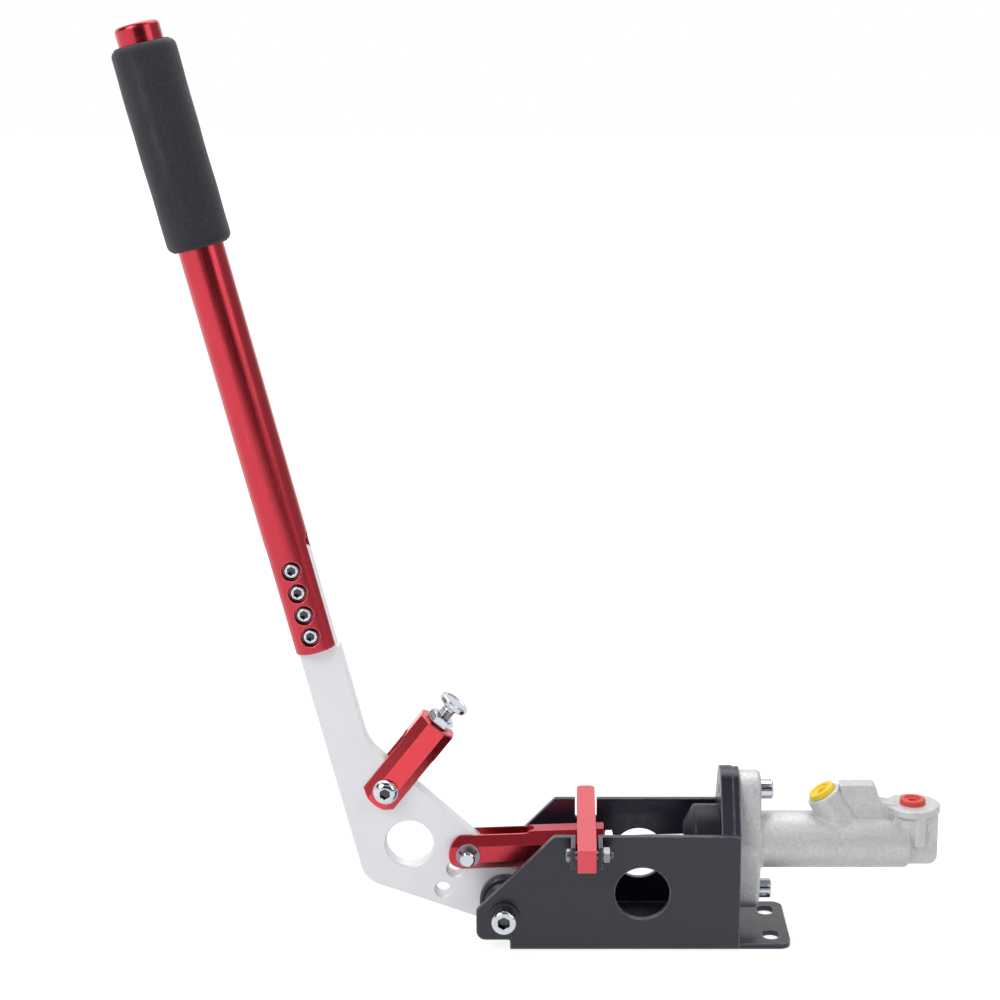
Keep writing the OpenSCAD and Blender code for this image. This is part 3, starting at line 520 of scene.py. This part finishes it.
class Shop:
    """The finishes of this part, each made once."""

    def __init__(self) -> None:
        """Make every finish that the part uses."""
        finishes = {
            "coat": PowderCoat("black_powder_coat"),
            "tube": Anodised("red_anodised_tube", grain=Grain.DRAWN, lean=HANDLE_LEAN),
            "cap": Anodised("red_anodised_cap", grain=Grain.TURNED, lean=HANDLE_LEAN),
            "link": Anodised("red_anodised_link", grain=Grain.EVEN, gloss=0.28, flecks=0.5),
            # the arm's copy of the red anodise is lighter: painted light for its brightly lit front face
            "arm": Anodised("red_anodised_arm_lit", colour=(0.78, 0.058, 0.078), grain=Grain.DRAWN, lean=-38.5,
                            gloss=0.22, flecks=0.1),
            # the bar's copy of the red anodise is lighter and pinker: painted light for the light its top face
            # reflects
            "bar": Anodised("red_anodised_bar_lit", colour=(0.76, 0.092, 0.122), grain=Grain.EVEN, gloss=0.42,
                            flecks=0.1),
            "plate": BareMetal("blasted_aluminium", (0.90, 0.90, 0.925), gloss=0.5, grain=2600, depth=0.16,
                               stain=(0.82, 0.82, 0.85), staining=0.25, edge=0.0007, metal=0.55,
                               mottle=0.025, specks=0.1),
            "cast": BareMetal("cast_aluminium", (0.66, 0.66, 0.662), gloss=0.47, grain=1100, depth=0.8,
                              stain=(0.52, 0.52, 0.53), staining=0.35, edge=0.0013, metal=0.5,
                              mottle=0.12, specks=0.9),
            "zinc": BareMetal("bright_zinc", (0.60, 0.63, 0.68), gloss=0.15, grain=1900, depth=0.06,
                              stain=(0.38, 0.39, 0.44), staining=0.35, edge=0.0004),
            "steel": BareMetal("dark_steel", (0.28, 0.28, 0.29), gloss=0.32, grain=1500, depth=0.08,
                               stain=(0.16, 0.16, 0.17), staining=0.4, edge=0.0004),
            "brass": BareMetal("machined_brass", (0.72, 0.55, 0.26), gloss=0.25, grain=1800, depth=0.05,
                               stain=(0.45, 0.33, 0.16), staining=0.3, edge=0.0004),
            "bush": Moulded("black_nylon", (0.022, 0.022, 0.025), gloss=0.36),
            "rubber": Moulded("boot_rubber", (0.014, 0.015, 0.024), gloss=0.42, bloom=0.14, grain=700,
                              depth=0.12, shine=0.28),
            "yellow": Moulded("yellow_plastic", (1.0, 0.72, 0.03), gloss=0.36, bloom=0.06),
            "red": Moulded("red_plastic", (0.76, 0.06, 0.045), gloss=0.36, bloom=0.06),
            "foam": Foam("grip_foam"),
        }
        self.made = {key: finish.material() for key, finish in finishes.items()}

    def dress(self, piece: bpy.types.Object, finish: str) -> None:
        """Give a piece one finish in all its material slots."""
        piece.data.materials.clear()
        piece.data.materials.append(self.made[finish])


def mesh_piece(name: str, points: np.ndarray, faces: np.ndarray, smooth: bool = True,
               recess_shade: np.ndarray | None = None) -> bpy.types.Object:
    """Make an object at the origin from arrays of points and quads.

    Args:
        name: Name of the piece.
        points: Points, n by 3, in metres in the part's frame.
        faces: Corner numbers, m by 4.
        smooth: Whether the faces are shaded smooth.
        recess_shade: How much painted shade each point takes in recesses, 0 to 1, kept as an attribute for the
            finish.

    Returns:
        The new object, linked to the scene.
    """
    mesh = bpy.data.meshes.new(name)
    mesh.from_pydata(points.tolist(), [], faces.tolist())
    # painted shade of recesses, kept per point for the finish
    if recess_shade is not None:
        mesh.attributes.new("recess_shade", "FLOAT", "POINT").data.foreach_set("value", recess_shade.astype(np.float32))
    weld = bmesh.new()
    weld.from_mesh(mesh)
    bmesh.ops.remove_doubles(weld, verts=weld.verts, dist=WELD)
    weld.to_mesh(mesh)
    weld.free()
    mesh.polygons.foreach_set("use_smooth", np.full(len(mesh.polygons), smooth))
    if smooth:
        mesh.set_sharp_from_angle(angle=SHARP)
    mesh.validate()
    mesh.update()
    piece = bpy.data.objects.new(name, mesh)
    bpy.context.scene.collection.objects.link(piece)
    return piece


def grid_faces(rows: int, columns: int) -> np.ndarray:
    """Make the quads of a grid whose columns close on themselves.

    Each quad joins a point and the next one round with the same two in the next row.

    Args:
        rows: Points along the grid.
        columns: Points round it.

    Returns:
        Corner numbers, m by 4.
    """
    i, j = np.meshgrid(np.arange(rows - 1), np.arange(columns), indexing="ij")
    k = (j + 1) % columns
    row, after = i * columns, (i + 1) * columns
    return np.stack([row + j, row + k, after + k, after + j], -1).reshape(-1, 4)


def axis_frame(axis: np.ndarray) -> tuple[np.ndarray, np.ndarray]:
    """Find two unit vectors at right angles to an axis and to each other, right-handed with it.

    Args:
        axis: Unit direction.

    Returns:
        The two vectors.
    """
    side = np.cross([0.0, 1.0, 0.0] if abs(axis[1]) < 0.9 else [0.0, 0.0, 1.0], axis)
    side /= np.linalg.norm(side)
    return side, np.cross(axis, side)


def lathe(along: np.ndarray, radius: np.ndarray, start: np.ndarray, axis: np.ndarray,
          turns: int) -> tuple[np.ndarray, np.ndarray]:
    """Turn a profile about an axis: a point is start + axis * along + radius * (cos a, sin a).

    Args:
        along: Places along the axis, n.
        radius: Radii, n by turns.
        start: Point that along is counted from.
        axis: Unit direction of the axis.
        turns: Points round the axis.

    Returns:
        Points and quads.
    """
    u, v = axis_frame(axis)
    a = np.linspace(0, 2 * np.pi, turns, endpoint=False)
    spoke = np.cos(a)[None, :, None] * u + np.sin(a)[None, :, None] * v
    points = start + along[:, None, None] * axis + radius[..., None] * spoke
    return points.reshape(-1, 3), grid_faces(len(along), turns)


def heading(degrees: float) -> np.ndarray:
    """Unit direction in the plane of the lever, turned up from +X by degrees."""
    a = math.radians(degrees)
    return np.array([math.cos(a), 0.0, math.sin(a)])


def from_pivot(x: float, z: float) -> np.ndarray:
    """Point of the middle plane in metres, x and z millimetres from the lever's pivot."""
    return PIVOT + np.array([x, 0.0, z]) * MM


def corners(node: str) -> tuple[np.ndarray, np.ndarray]:
    """Lowest and highest corner of a CAD node at rest, in metres."""
    low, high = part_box(node)
    return np.array(low), np.array(high)


@dataclass
class Grip:
    """Foam grip on the upper handle."""

    start: float = 220.5
    length: float = 105.0
    diameter: float = 33.6
    bore: float = 23.86
    edge: float = 4.2
    lip: float = 2.0
    turns: int = 128

    def build(self, shop: Shop) -> None:
        """Make the grip as a turned sleeve with rolled ends.

        The radius of the skin is lowered a little, and swells and dimples by two sine waves that run
        round the grip and along it.

        Args:
            shop: Finishes.
        """
        axis = heading(90 + HANDLE_LEAN)
        r, b, e, top = self.diameter / 2, self.bore / 2, self.edge, self.length
        roll = np.linspace(-np.pi / 2, 0, 9)
        side = np.linspace(e, top - e, 90)[1:-1]
        t = np.concatenate([[0.0, 0.0], e + e * np.sin(roll), side, top - e - e * np.sin(roll[::-1]),
                            [top, top, top - 1, 1.0, 0.0]])
        p = np.concatenate([[b, b + self.lip], r - e + e * np.cos(roll), np.full(len(side), r),
                            r - e + e * np.cos(roll[::-1]), [b + self.lip, b, b, b, b]])
        turn = np.linspace(0, 2 * np.pi, self.turns, endpoint=False)
        skin = (p > b + self.lip + 0.5)[:, None]
        wave = 0.10 * np.sin(3 * turn + 0.07 * t[:, None]) + 0.08 * np.sin(5 * turn - 0.19 * t[:, None])
        radius = p[:, None] + skin * (wave - 0.16)
        start = from_pivot(*TUBE_FOOT) + axis * self.start * MM
        points, faces = lathe(t * MM, radius * MM, start, axis, self.turns)
        piece = mesh_piece("grip_sleeve", points, faces)
        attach(piece, "lever")
        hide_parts("foam_grip")
        shop.dress(piece, "foam")
        LOG.info("made %s", piece.name)


@dataclass
class Screw:
    """A screw, stud or plug as one surface: socket, head, shank and a cut thread.

    The head starts at 0 and the shank ends at length. Beyond the radius sunk the head is painted dark, as
    the painted shade of its seat.
    """

    name: str
    node: str
    body: str
    head: Profile
    shank: float
    length: float
    thread_from: float
    pitch: float
    key: float = 0.0
    key_depth: float = 0.0
    flutes: int = 0
    finish: str = "zinc"
    slot: str = "zinc"
    sunk: float | None = None
    turns: int = 90

    def surface(self, start: np.ndarray, axis: np.ndarray) -> tuple[np.ndarray, np.ndarray, np.ndarray]:
        """Make the surface of one screw.

        A profile of height t and radius r is turned about the axis. The socket's radius is that of a
        hexagon at the bearing, the head's side is cut by flutes, and the thread's radius falls and
        rises once per pitch, moved along by one pitch for each turn.

        Args:
            start: Middle of the head's top.
            axis: Unit direction from the head to the end of the shank.

        Returns:
            Points, quads and the painted shade of each point, darkest in the socket, the seat and the thread's
            roots.
        """
        a = np.linspace(0, 2 * np.pi, self.turns, endpoint=False)
        ones = np.ones_like(a)
        top, r, end = self.head[0][0], self.shank, self.length
        # each row is a height, the radii round the axis and the painted shade in recesses
        rows: list[tuple[float, np.ndarray, float]] = []
        if self.key:
            hexagon = self.key / 2 / np.cos((a + np.pi / 6) % (np.pi / 3) - np.pi / 6)
            deep = top + self.key_depth
            # the socket is painted dark as shade, darkest at its bottom
            rows += [(deep + 0.5, 0 * ones, 1.0), (deep, hexagon, 1.0), (top + 0.9, hexagon, 0.8),
                     (top + 0.25, hexagon, 0.45), (top, hexagon + 0.25, 0.1)]
        else:
            rows.append((top, 0 * ones, 0.0))
        widest = max(q for _, q in self.head)
        seat = widest if self.sunk is None else self.sunk
        flute = FLUTE_DEPTH * widest * np.abs(np.sin(self.flutes * a / 2))
        # beyond the radius sunk the head is painted dark as the shade of its seat, and the shank a little under
        # the head
        rows += [(t, q * ones - flute * (q == widest), float(q > seat)) for t, q in self.head]
        rows += [(self.head[-1][0], r * ones, 0.3), (self.thread_from, r * ones, 0.1)]
        steps = np.arange(self.thread_from, end - 0.1 * r, self.pitch / 6)
        wave = 1 - np.abs(((steps[:, None] / self.pitch - a[None, :] / (2 * np.pi)) % 1.0) * 2 - 1)
        fade = np.clip((steps - self.thread_from) / self.pitch, 0, 1)[:, None]
        taper = np.clip((end - steps) / (0.24 * r), 0, 1)[:, None]
        thread = r - 0.01 - THREAD_DEPTH * self.pitch * wave * fade - 0.2 * r * (1 - taper)
        tail = [(end, 0.74 * r * ones, 0.0), (end, 0 * ones, 0.0)]
        along = np.concatenate([[t for t, _, _ in rows], steps, [t for t, _, _ in tail]])
        radius = np.concatenate([[q for _, q, _ in rows], thread, [q for _, q, _ in tail]])
        # the thread's roots are painted dark as shade
        painted_shade = np.concatenate([np.outer([g for _, _, g in rows], ones), 0.75 * wave * fade,
                               np.outer([g for _, _, g in tail], ones)])
        points, faces = lathe(along * MM, radius * MM, start, axis, self.turns)
        return points, faces, painted_shade.ravel()

    def build(self, shop: Shop, starts: list[np.ndarray], axis: np.ndarray) -> None:
        """Make every copy of the screw as one piece in place of its CAD node.

        Args:
            shop: Finishes.
            starts: Middle of each head's top in metres.
            axis: Unit direction of all the shanks.
        """
        parts = [self.surface(start, axis) for start in starts]
        size = len(parts[0][0])
        points = np.concatenate([q for q, _, _ in parts])
        faces = np.concatenate([f + i * size for i, (_, f, _) in enumerate(parts)])
        piece = mesh_piece(self.name, points, faces, True, np.concatenate([g for _, _, g in parts]))
        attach(piece, self.body)
        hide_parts(self.node)
        shop.dress(piece, self.finish)
        LOG.info("made %s", piece.name)


@dataclass
class Fixings:
    """The bolts of the pivot, the hinge and the cylinder flange: radius and height of each head."""

    pivot_head: Pair = (6.5, 8.0)
    flange_head: Pair = (5.2, 6.8)
    hinge_head: Pair = (3.8, 2.8)

    @staticmethod
    def cap(r: float, h: float) -> Profile:
        """Profile of a cap head: a domed edge on top, a straight side and a small break below."""
        return [(0.0, r * 0.86), (0.035 * h + 0.15, r * 0.95), (0.14 * r, r), (h - 0.3, r), (h, r * 0.97)]

    def build(self, shop: Shop) -> None:
        """Make the bolts on the axes of their CAD nodes.

        Args:
            shop: Finishes.
        """
        lo, hi = corners("pivot_bolt")
        mid, reach = (lo + hi) / 2, (hi - lo) / MM
        bolt = Screw("pivot_screw", "pivot_bolt", "base", self.cap(*self.pivot_head), shank=4.0,
                     length=reach[1], thread_from=reach[1] - 24, pitch=1.25, key=6.0, key_depth=4.4)
        bolt.build(shop, [np.array([mid[0], lo[1], mid[2]])], np.array([0.0, 1.0, 0.0]))
        lo, hi = corners("flange_screws")
        r, reach = self.flange_head[0] * MM, (hi - lo) / MM
        cap = Screw("flange_cap_screws", "flange_screws", "base", self.cap(*self.flange_head), shank=3.0,
                    length=reach[0], thread_from=reach[0] - 16, pitch=1.0, key=5.0, key_depth=3.6, flutes=30)
        starts = [np.array([hi[0], 0.0, z]) for z in (lo[2] + r, hi[2] - r)]
        cap.build(shop, starts, np.array([-1.0, 0.0, 0.0]))
        lo, hi = corners("hinge_bolt")
        mid, reach = (lo + hi) / 2, (hi - lo) / MM
        pin = Screw("hinge_screw", "hinge_bolt", "base", self.cap(*self.hinge_head), shank=2.3,
                    length=reach[0], thread_from=reach[0] - 8, pitch=0.7, key=2.5, key_depth=1.5,
                    finish="steel")
        pin.build(shop, [np.array([lo[0], mid[1], mid[2]])], np.array([1.0, 0.0, 0.0]))


@dataclass
class HandleScrews:
    """The low screws that hold the tube to the plate."""

    first: float = 9.4
    pitch: float = 12.3
    count: int = 4

    def build(self, shop: Shop) -> None:
        """Make the screws in a row along the tube.

        Args:
            shop: Finishes.
        """
        lo, hi = corners("handle_screws")
        reach = (hi[1] - lo[1]) / MM
        foot = from_pivot(*TUBE_FOOT) + np.array([0.0, lo[1], 0.0])
        up = heading(90 + HANDLE_LEAN)
        starts = [foot + up * (self.first + i * self.pitch) * MM for i in range(self.count)]
        head = [(0, 3.3), (0.25, 3.6), (0.6, 3.72), (0.7, 3.8), (0.8, 4.35), (2.3, 4.35), (2.6, 4.2)]
        screw = Screw("handle_cap_screws", "handle_screws", "lever", head, shank=2.5, length=reach,
                      thread_from=reach - 9, pitch=0.8, key=4.0, key_depth=2.0, sunk=3.75)
        screw.build(shop, starts, np.array([0.0, 1.0, 0.0]))


@dataclass
class HoldArm:
    """The screw that the hold arm turns on and the stud with a disc head at its end."""

    pivot: Pair = (-64.1, 62.9)
    bearing: float = 51.5
    stud_end: float = 35.0
    head_top: float = 60.9
    head: float = 8.4
    head_h: float = 3.4

    def build(self, shop: Shop) -> None:
        """Make the screw and the stud on the arm's own axes.

        Args:
            shop: Finishes.
        """
        lo, hi = corners("arm_bolt")
        at = from_pivot(*self.pivot)
        reach = (hi[1] - lo[1]) / MM
        dome = [(0, 3.5), (0.35, 4.5), (0.8, 5.2), (1.4, 5.85), (2.2, 6.45), (3.1, 6.8), (3.7, 7.0), (4.2, 7.0)]
        button = Screw("arm_button_screw", "arm_bolt", "arm", dome, shank=4.0, length=reach,
                       thread_from=reach - 10, pitch=1.25, key=5.0, key_depth=2.8)
        button.build(shop, [np.array([at[0], lo[1], at[2]])], np.array([0.0, 1.0, 0.0]))
        h, t = self.head, self.head_h
        disc = [(0.4, h - 2.8), (0.0, h - 2.2), (0.0, h - 0.6), (0.6, h), (t - 0.5, h), (t, h - 0.5),
                (t, 5.2), (t + 1.2, 4.0)]
        stud = Screw("adjuster_stud", "adjuster", "arm", disc, shank=4.0,
                     length=self.head_top - self.stud_end, thread_from=t + 1.8, pitch=1.25)
        stud.build(shop, [at + heading(self.bearing) * self.head_top * MM], -heading(self.bearing))


@dataclass
class PortPlugs:
    """The two shipping plugs in the ports of the cylinder, placed from its flange."""

    flange: Pair = (126.3, 32.2)
    inlet: Pair = (46.2, 26.4)
    inlet_lean: float = 32.0
    outlet: Pair = (95.0, 20.6)
    height: float = 2.8
    stem: float = 7.0

    def profile(self, r: float) -> Profile:
        """Profile of a plug's head: a sunk middle, a step up to a flat ring and a broken outer edge."""
        return [(1.0, 0.42 * r), (1.0, 0.56 * r), (0.75, 0.6 * r), (0.1, 0.62 * r), (0.0, 0.66 * r),
                (0.0, r - 0.7), (0.2, r - 0.2), (0.7, r), (self.height - 0.3, r), (self.height, r - 0.2)]

    def build(self, shop: Shop) -> None:
        """Make both plugs on the axes of their ports. Their stems have no thread.

        Args:
            shop: Finishes.
        """
        base = from_pivot(*self.flange)
        rows = (("inlet_cap", "inlet_plug", self.inlet, 90 + self.inlet_lean, 7.5, 5.9, "yellow"),
                ("outlet_cap", "outlet_plug", self.outlet, 90.0, 7.0, 5.4, "red"))
        for name, node, place, up, r, stem, finish in rows:
            axis = heading(up)
            start = base + np.array([place[0], 0.0, place[1]]) * MM + axis * self.height * MM
            end = self.height + self.stem
            plug = Screw(name, node, "base", self.profile(r), shank=stem, length=end, thread_from=end,
                         pitch=1.0, key=0.62 * r, key_depth=2.4, finish=finish, slot=finish + "_plastic")
            plug.build(shop, [start], -axis)


@dataclass
class ReturnSpring:
    """The coil spring in the cylinder, which shortens as the piston comes forward."""

    wire: float = 1.6
    coils: float = 7.0
    travel: float = 19.6
    steps: int = 40
    sides: int = 14

    def build(self, shop: Shop) -> None:
        """Carry a round wire along a helix.

        The path turns about X as it moves along it, and the wire's circle stands on the path's radius
        and on X.

        Args:
            shop: Finishes.
        """
        lo, hi = (corner / MM for corner in corners("return_spring"))
        mid, w = (lo + hi) / 2, self.wire / 2
        r = (hi[2] - lo[2]) / 2 - w
        a = np.linspace(0, 2 * np.pi * self.coils, int(self.steps * self.coils) + 1)
        x = np.linspace(lo[0] + w, hi[0] - w, len(a))
        thick = np.concatenate([[0.0], np.full(len(a), w), [0.0]])[:, None]
        a, x = np.pad(a, 1, "edge")[:, None], np.pad(x, 1, "edge")[:, None]
        b = np.linspace(0, 2 * np.pi, self.sides, endpoint=False)[None, :]
        out = r + thick * np.cos(b)
        y, z = mid[1] + out * np.cos(a), mid[2] + out * np.sin(a)
        points = np.stack([x + thick * np.sin(b), y, z], -1).reshape(-1, 3)
        piece = mesh_piece("return_coil", points * MM, grid_faces(len(a), self.sides))
        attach(piece, "base")
        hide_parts("return_spring")
        shop.dress(piece, "steel")
        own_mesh(piece)


@dataclass
class Frame:
    """The CAD nodes, each with its finish. One that a new piece replaces is hidden, and has one too."""

    finishes: dict[str, str] = field(default_factory=lambda: {
        "base_channel": "coat", "hinge_lugs": "coat", "end_plate": "coat", "adapter_plate": "coat",
        "pivot_bolt": "zinc", "pivot_washers": "bush", "pivot_nut": "zinc", "pivot_sleeve": "steel",
        "cylinder_body": "cast", "flange_screws": "zinc", "dust_boot": "rubber", "inlet_plug": "yellow",
        "outlet_plug": "red", "end_plug": "bush", "stop_washer": "steel", "circlip": "steel",
        "return_spring": "steel", "hinge_bolt": "steel", "hinge_nut": "steel", "lever_plate": "plate",
        "pivot_bushes": "bush", "handle_tube": "tube", "handle_screws": "zinc", "foam_grip": "foam",
        "end_cap": "cap", "push_link": "link", "clevis_pin": "zinc", "pin_clips": "steel", "push_rod": "zinc",
        "rod_nut": "zinc", "piston": "brass", "piston_seals": "rubber", "hold_arm": "arm", "arm_bolt": "zinc",
        "arm_nut": "zinc", "adjuster": "zinc", "adjuster_nut": "zinc", "cross_bar": "bar"})

    def dress(self, nodes: dict[str, bpy.types.Object], shop: Shop) -> None:
        """Give each CAD node its finish.

        Args:
            nodes: CAD objects by name.
            shop: Finishes.
        """
        for name, finish in self.finishes.items():
            shop.dress(nodes[name], finish)
            LOG.info("dressed %s in %s", name, finish)


@dataclass
class Studio:
    """Floor, backdrop, reflection cards, lamps and the camera, whose eye is counted from the pivot."""

    eye: Point = (34.118, -1050.816, 444.81)
    pitch: float = 77.984
    lens: float = 73.4546
    shift: float = -0.068125
    floor: Colour = (0.30, 0.30, 0.31)
    floor_half: float = 14.0
    floor_drop: float = 0.0003
    glow_reach: Pair = (0.25, 1.3)
    glow_range: Pair = (0.84, 1.0)
    sky: Colour = (0.95, 0.97, 1.0)
    sky_strength: float = 0.42
    reach: float = 2.7

    def camera(self) -> None:
        """Set the camera where the photograph was taken from."""
        data = bpy.data.cameras.new("photo_camera")
        data.sensor_width = 36.0
        data.lens = self.lens
        data.shift_x = self.shift
        data.clip_start, data.clip_end = 0.01, 60.0
        camera = bpy.data.objects.new("photo_camera", data)
        bpy.context.scene.collection.objects.link(camera)
        camera.location = PIVOT + np.array(self.eye) * MM
        camera.rotation_euler = (math.radians(self.pitch), 0.0, 0.0)
        bpy.context.scene.camera = camera

    def ground(self) -> None:
        """Make the floor: white to the camera and in reflections, a little less under the part."""
        s = Sketch("studio_floor")
        s.set("Base Color", self.floor)
        s.set("Roughness", 0.9)
        path = s.add("LightPath")
        glow = s.add("Emission")
        glow.inputs["Color"].default_value = (1, 1, 1, 1)
        seen = s.math("MAXIMUM", path.outputs["Is Camera Ray"], path.outputs["Is Glossy Ray"])
        seen = s.math("MAXIMUM", seen, path.outputs["Is Transmission Ray"])
        far = s.add("VectorMath", operation="LENGTH")
        s.plug(far.inputs[0], s.coords)
        level = s.ramp(far.outputs["Value"], *self.glow_reach, *self.glow_range)
        s.plug(glow.inputs["Strength"], s.math("MULTIPLY", seen, level))
        both = s.add("AddShader")
        s.tree.links.new(s.shader.outputs[0], both.inputs[0])
        s.tree.links.new(glow.outputs[0], both.inputs[1])
        s.tree.links.new(both.outputs[0], s.out.inputs[0])
        half, z = self.floor_half, -self.floor_drop
        square = np.array([[-half, -half, z], [half, -half, z], [half, half, z], [-half, half, z]])
        floor = mesh_piece("studio_floor", square, np.array([[0, 1, 2, 3]]), False)
        floor.data.materials.append(s.material)

    def surroundings(self) -> None:
        """Make the world: white to the camera and in reflections, soft light otherwise."""
        world = bpy.data.worlds.new("studio_world")
        bpy.context.scene.world = world
        world.use_nodes = True
        tree = world.node_tree
        tree.nodes.clear()
        kinds = ("LightPath", "Math", "Math", "Background", "Background", "MixShader", "OutputWorld")
        rays, first, second, soft, white, mix, out = (tree.nodes.new("ShaderNode" + kind) for kind in kinds)
        first.operation = second.operation = "MAXIMUM"
        soft.inputs["Color"].default_value = (*self.sky, 1.0)
        soft.inputs["Strength"].default_value = self.sky_strength
        white.inputs["Color"].default_value = (1.0, 1.0, 1.0, 1.0)
        white.inputs["Strength"].default_value = 1.0
        links = ((rays.outputs["Is Camera Ray"], first.inputs[0]),
                 (rays.outputs["Is Glossy Ray"], first.inputs[1]),
                 (first.outputs[0], second.inputs[0]),
                 (rays.outputs["Is Transmission Ray"], second.inputs[1]),
                 (second.outputs[0], mix.inputs[0]),
                 (soft.outputs[0], mix.inputs[1]),
                 (white.outputs[0], mix.inputs[2]),
                 (mix.outputs[0], out.inputs[0]))
        for source, target in links:
            tree.links.new(source, target)

    def flag(self, name: str, start: float, end: float, grey: float, low: float = -0.6,
             high: float = 2.4) -> None:
        """Hang a curved card that only reflections see, to give the metal its darker bands.

        The card is a strip of a cylinder: a point is reach * (sin a, -cos a) at height z.

        Args:
            name: Name of the card.
            start: Bearing of its left edge from the camera's side, in degrees.
            end: Bearing of its right edge.
            grey: Brightness of the card.
            low: Height of its lower edge in metres.
            high: Height of its upper edge.
        """
        strips = 24
        bearings = np.radians(np.linspace(start, end, strips + 1))
        a, z = np.meshgrid(bearings, np.array([low, high]), indexing="ij")
        points = np.stack([self.reach * np.sin(a), -self.reach * np.cos(a), z], -1).reshape(-1, 3)
        i = np.arange(strips) * 2
        self.card(name, points, np.stack([i, i + 1, i + 3, i + 2], -1), grey)

    def overhead(self, name: str, x: Pair, y: Pair, z: float, grey: float) -> None:
        """Hang a level card that only reflections see: a rectangle from x to x and y to y at height z.

        Args:
            name: Name of the card.
            x: Left and right edge in metres.
            y: Near and far edge.
            z: Height.
            grey: Brightness of the card.
        """
        points = np.array([[x[0], y[0], z], [x[1], y[0], z], [x[1], y[1], z], [x[0], y[1], z]])
        self.card(name, points, np.array([[0, 1, 2, 3]]), grey)

    def card(self, name: str, points: np.ndarray, faces: np.ndarray, grey: float) -> None:
        """Make a card of even brightness that the camera, shadows and diffuse light don't see.

        Args:
            name: Name of the card.
            points: Corners in metres.
            faces: Corner numbers of its quads.
            grey: Brightness.
        """
        card = mesh_piece(name, points, faces, False)
        s = Sketch(name)
        glow = s.add("Emission")
        glow.inputs["Color"].default_value = (grey, grey, grey, 1.0)
        s.tree.links.new(glow.outputs[0], s.out.inputs[0])
        card.data.materials.append(s.material)
        card.visible_camera = False
        card.visible_diffuse = False
        card.visible_shadow = False
        card.visible_transmission = False

    def lamp(self, name: str, place: Point, aim: Point, size: Pair, power: float) -> None:
        """Hang one rectangular softbox.

        Args:
            name: Name of the lamp.
            place: Where it hangs, in metres.
            aim: Point that it faces.
            size: Width and height in metres.
            power: Watts.
        """
        data = bpy.data.lights.new(name, "AREA")
        data.shape = "RECTANGLE"
        data.size, data.size_y = size
        data.energy = power
        lamp = bpy.data.objects.new(name, data)
        bpy.context.scene.collection.objects.link(lamp)
        lamp.location = place
        lamp.rotation_euler = (Vector(aim) - Vector(place)).to_track_quat("-Z", "Y").to_euler()

    def build(self) -> None:
        """Set up the camera, the backdrop, the cards and the lamps."""
        bpy.context.scene.view_settings.view_transform = "Standard"
        self.camera()
        self.ground()
        self.surroundings()
        self.flag("front_flag", start=-18, end=66, grey=0.045)
        self.flag("side_flag", start=68, end=150, grey=0.40)
        self.flag("high_flag", start=-112, end=-52, grey=0.05, low=0.95, high=2.7)
        self.overhead("overhead_flag", x=(-1.3, 1.3), y=(-2.2, -0.25), z=2.6, grey=0.05)
        self.lamp("key_softbox", place=(-1.5, -1.5, 1.9), aim=(-0.05, 0, 0.18), size=(1.3, 1.3), power=30)
        self.lamp("top_softbox", place=(0.1, 0.75, 2.1), aim=(0.0, 0, 0.0), size=(1.8, 1.4), power=18)
        self.lamp("fill_softbox", place=(1.9, -1.2, 1.2), aim=(0.05, 0, 0.1), size=(1.2, 1.4), power=10)


def main() -> None:
    """Load the frame, dress it, and add the finer pieces and the studio."""
    logging.basicConfig(level=logging.INFO, format="%(name)s: %(message)s")
    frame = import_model()
    shop = Shop()
    Frame().dress(frame["nodes"], shop)
    for group in (Grip(), Fixings(), HandleScrews(), HoldArm(), PortPlugs(), ReturnSpring()):
        group.build(shop)
    Studio().build()


if __name__ == "__main__":
    main()
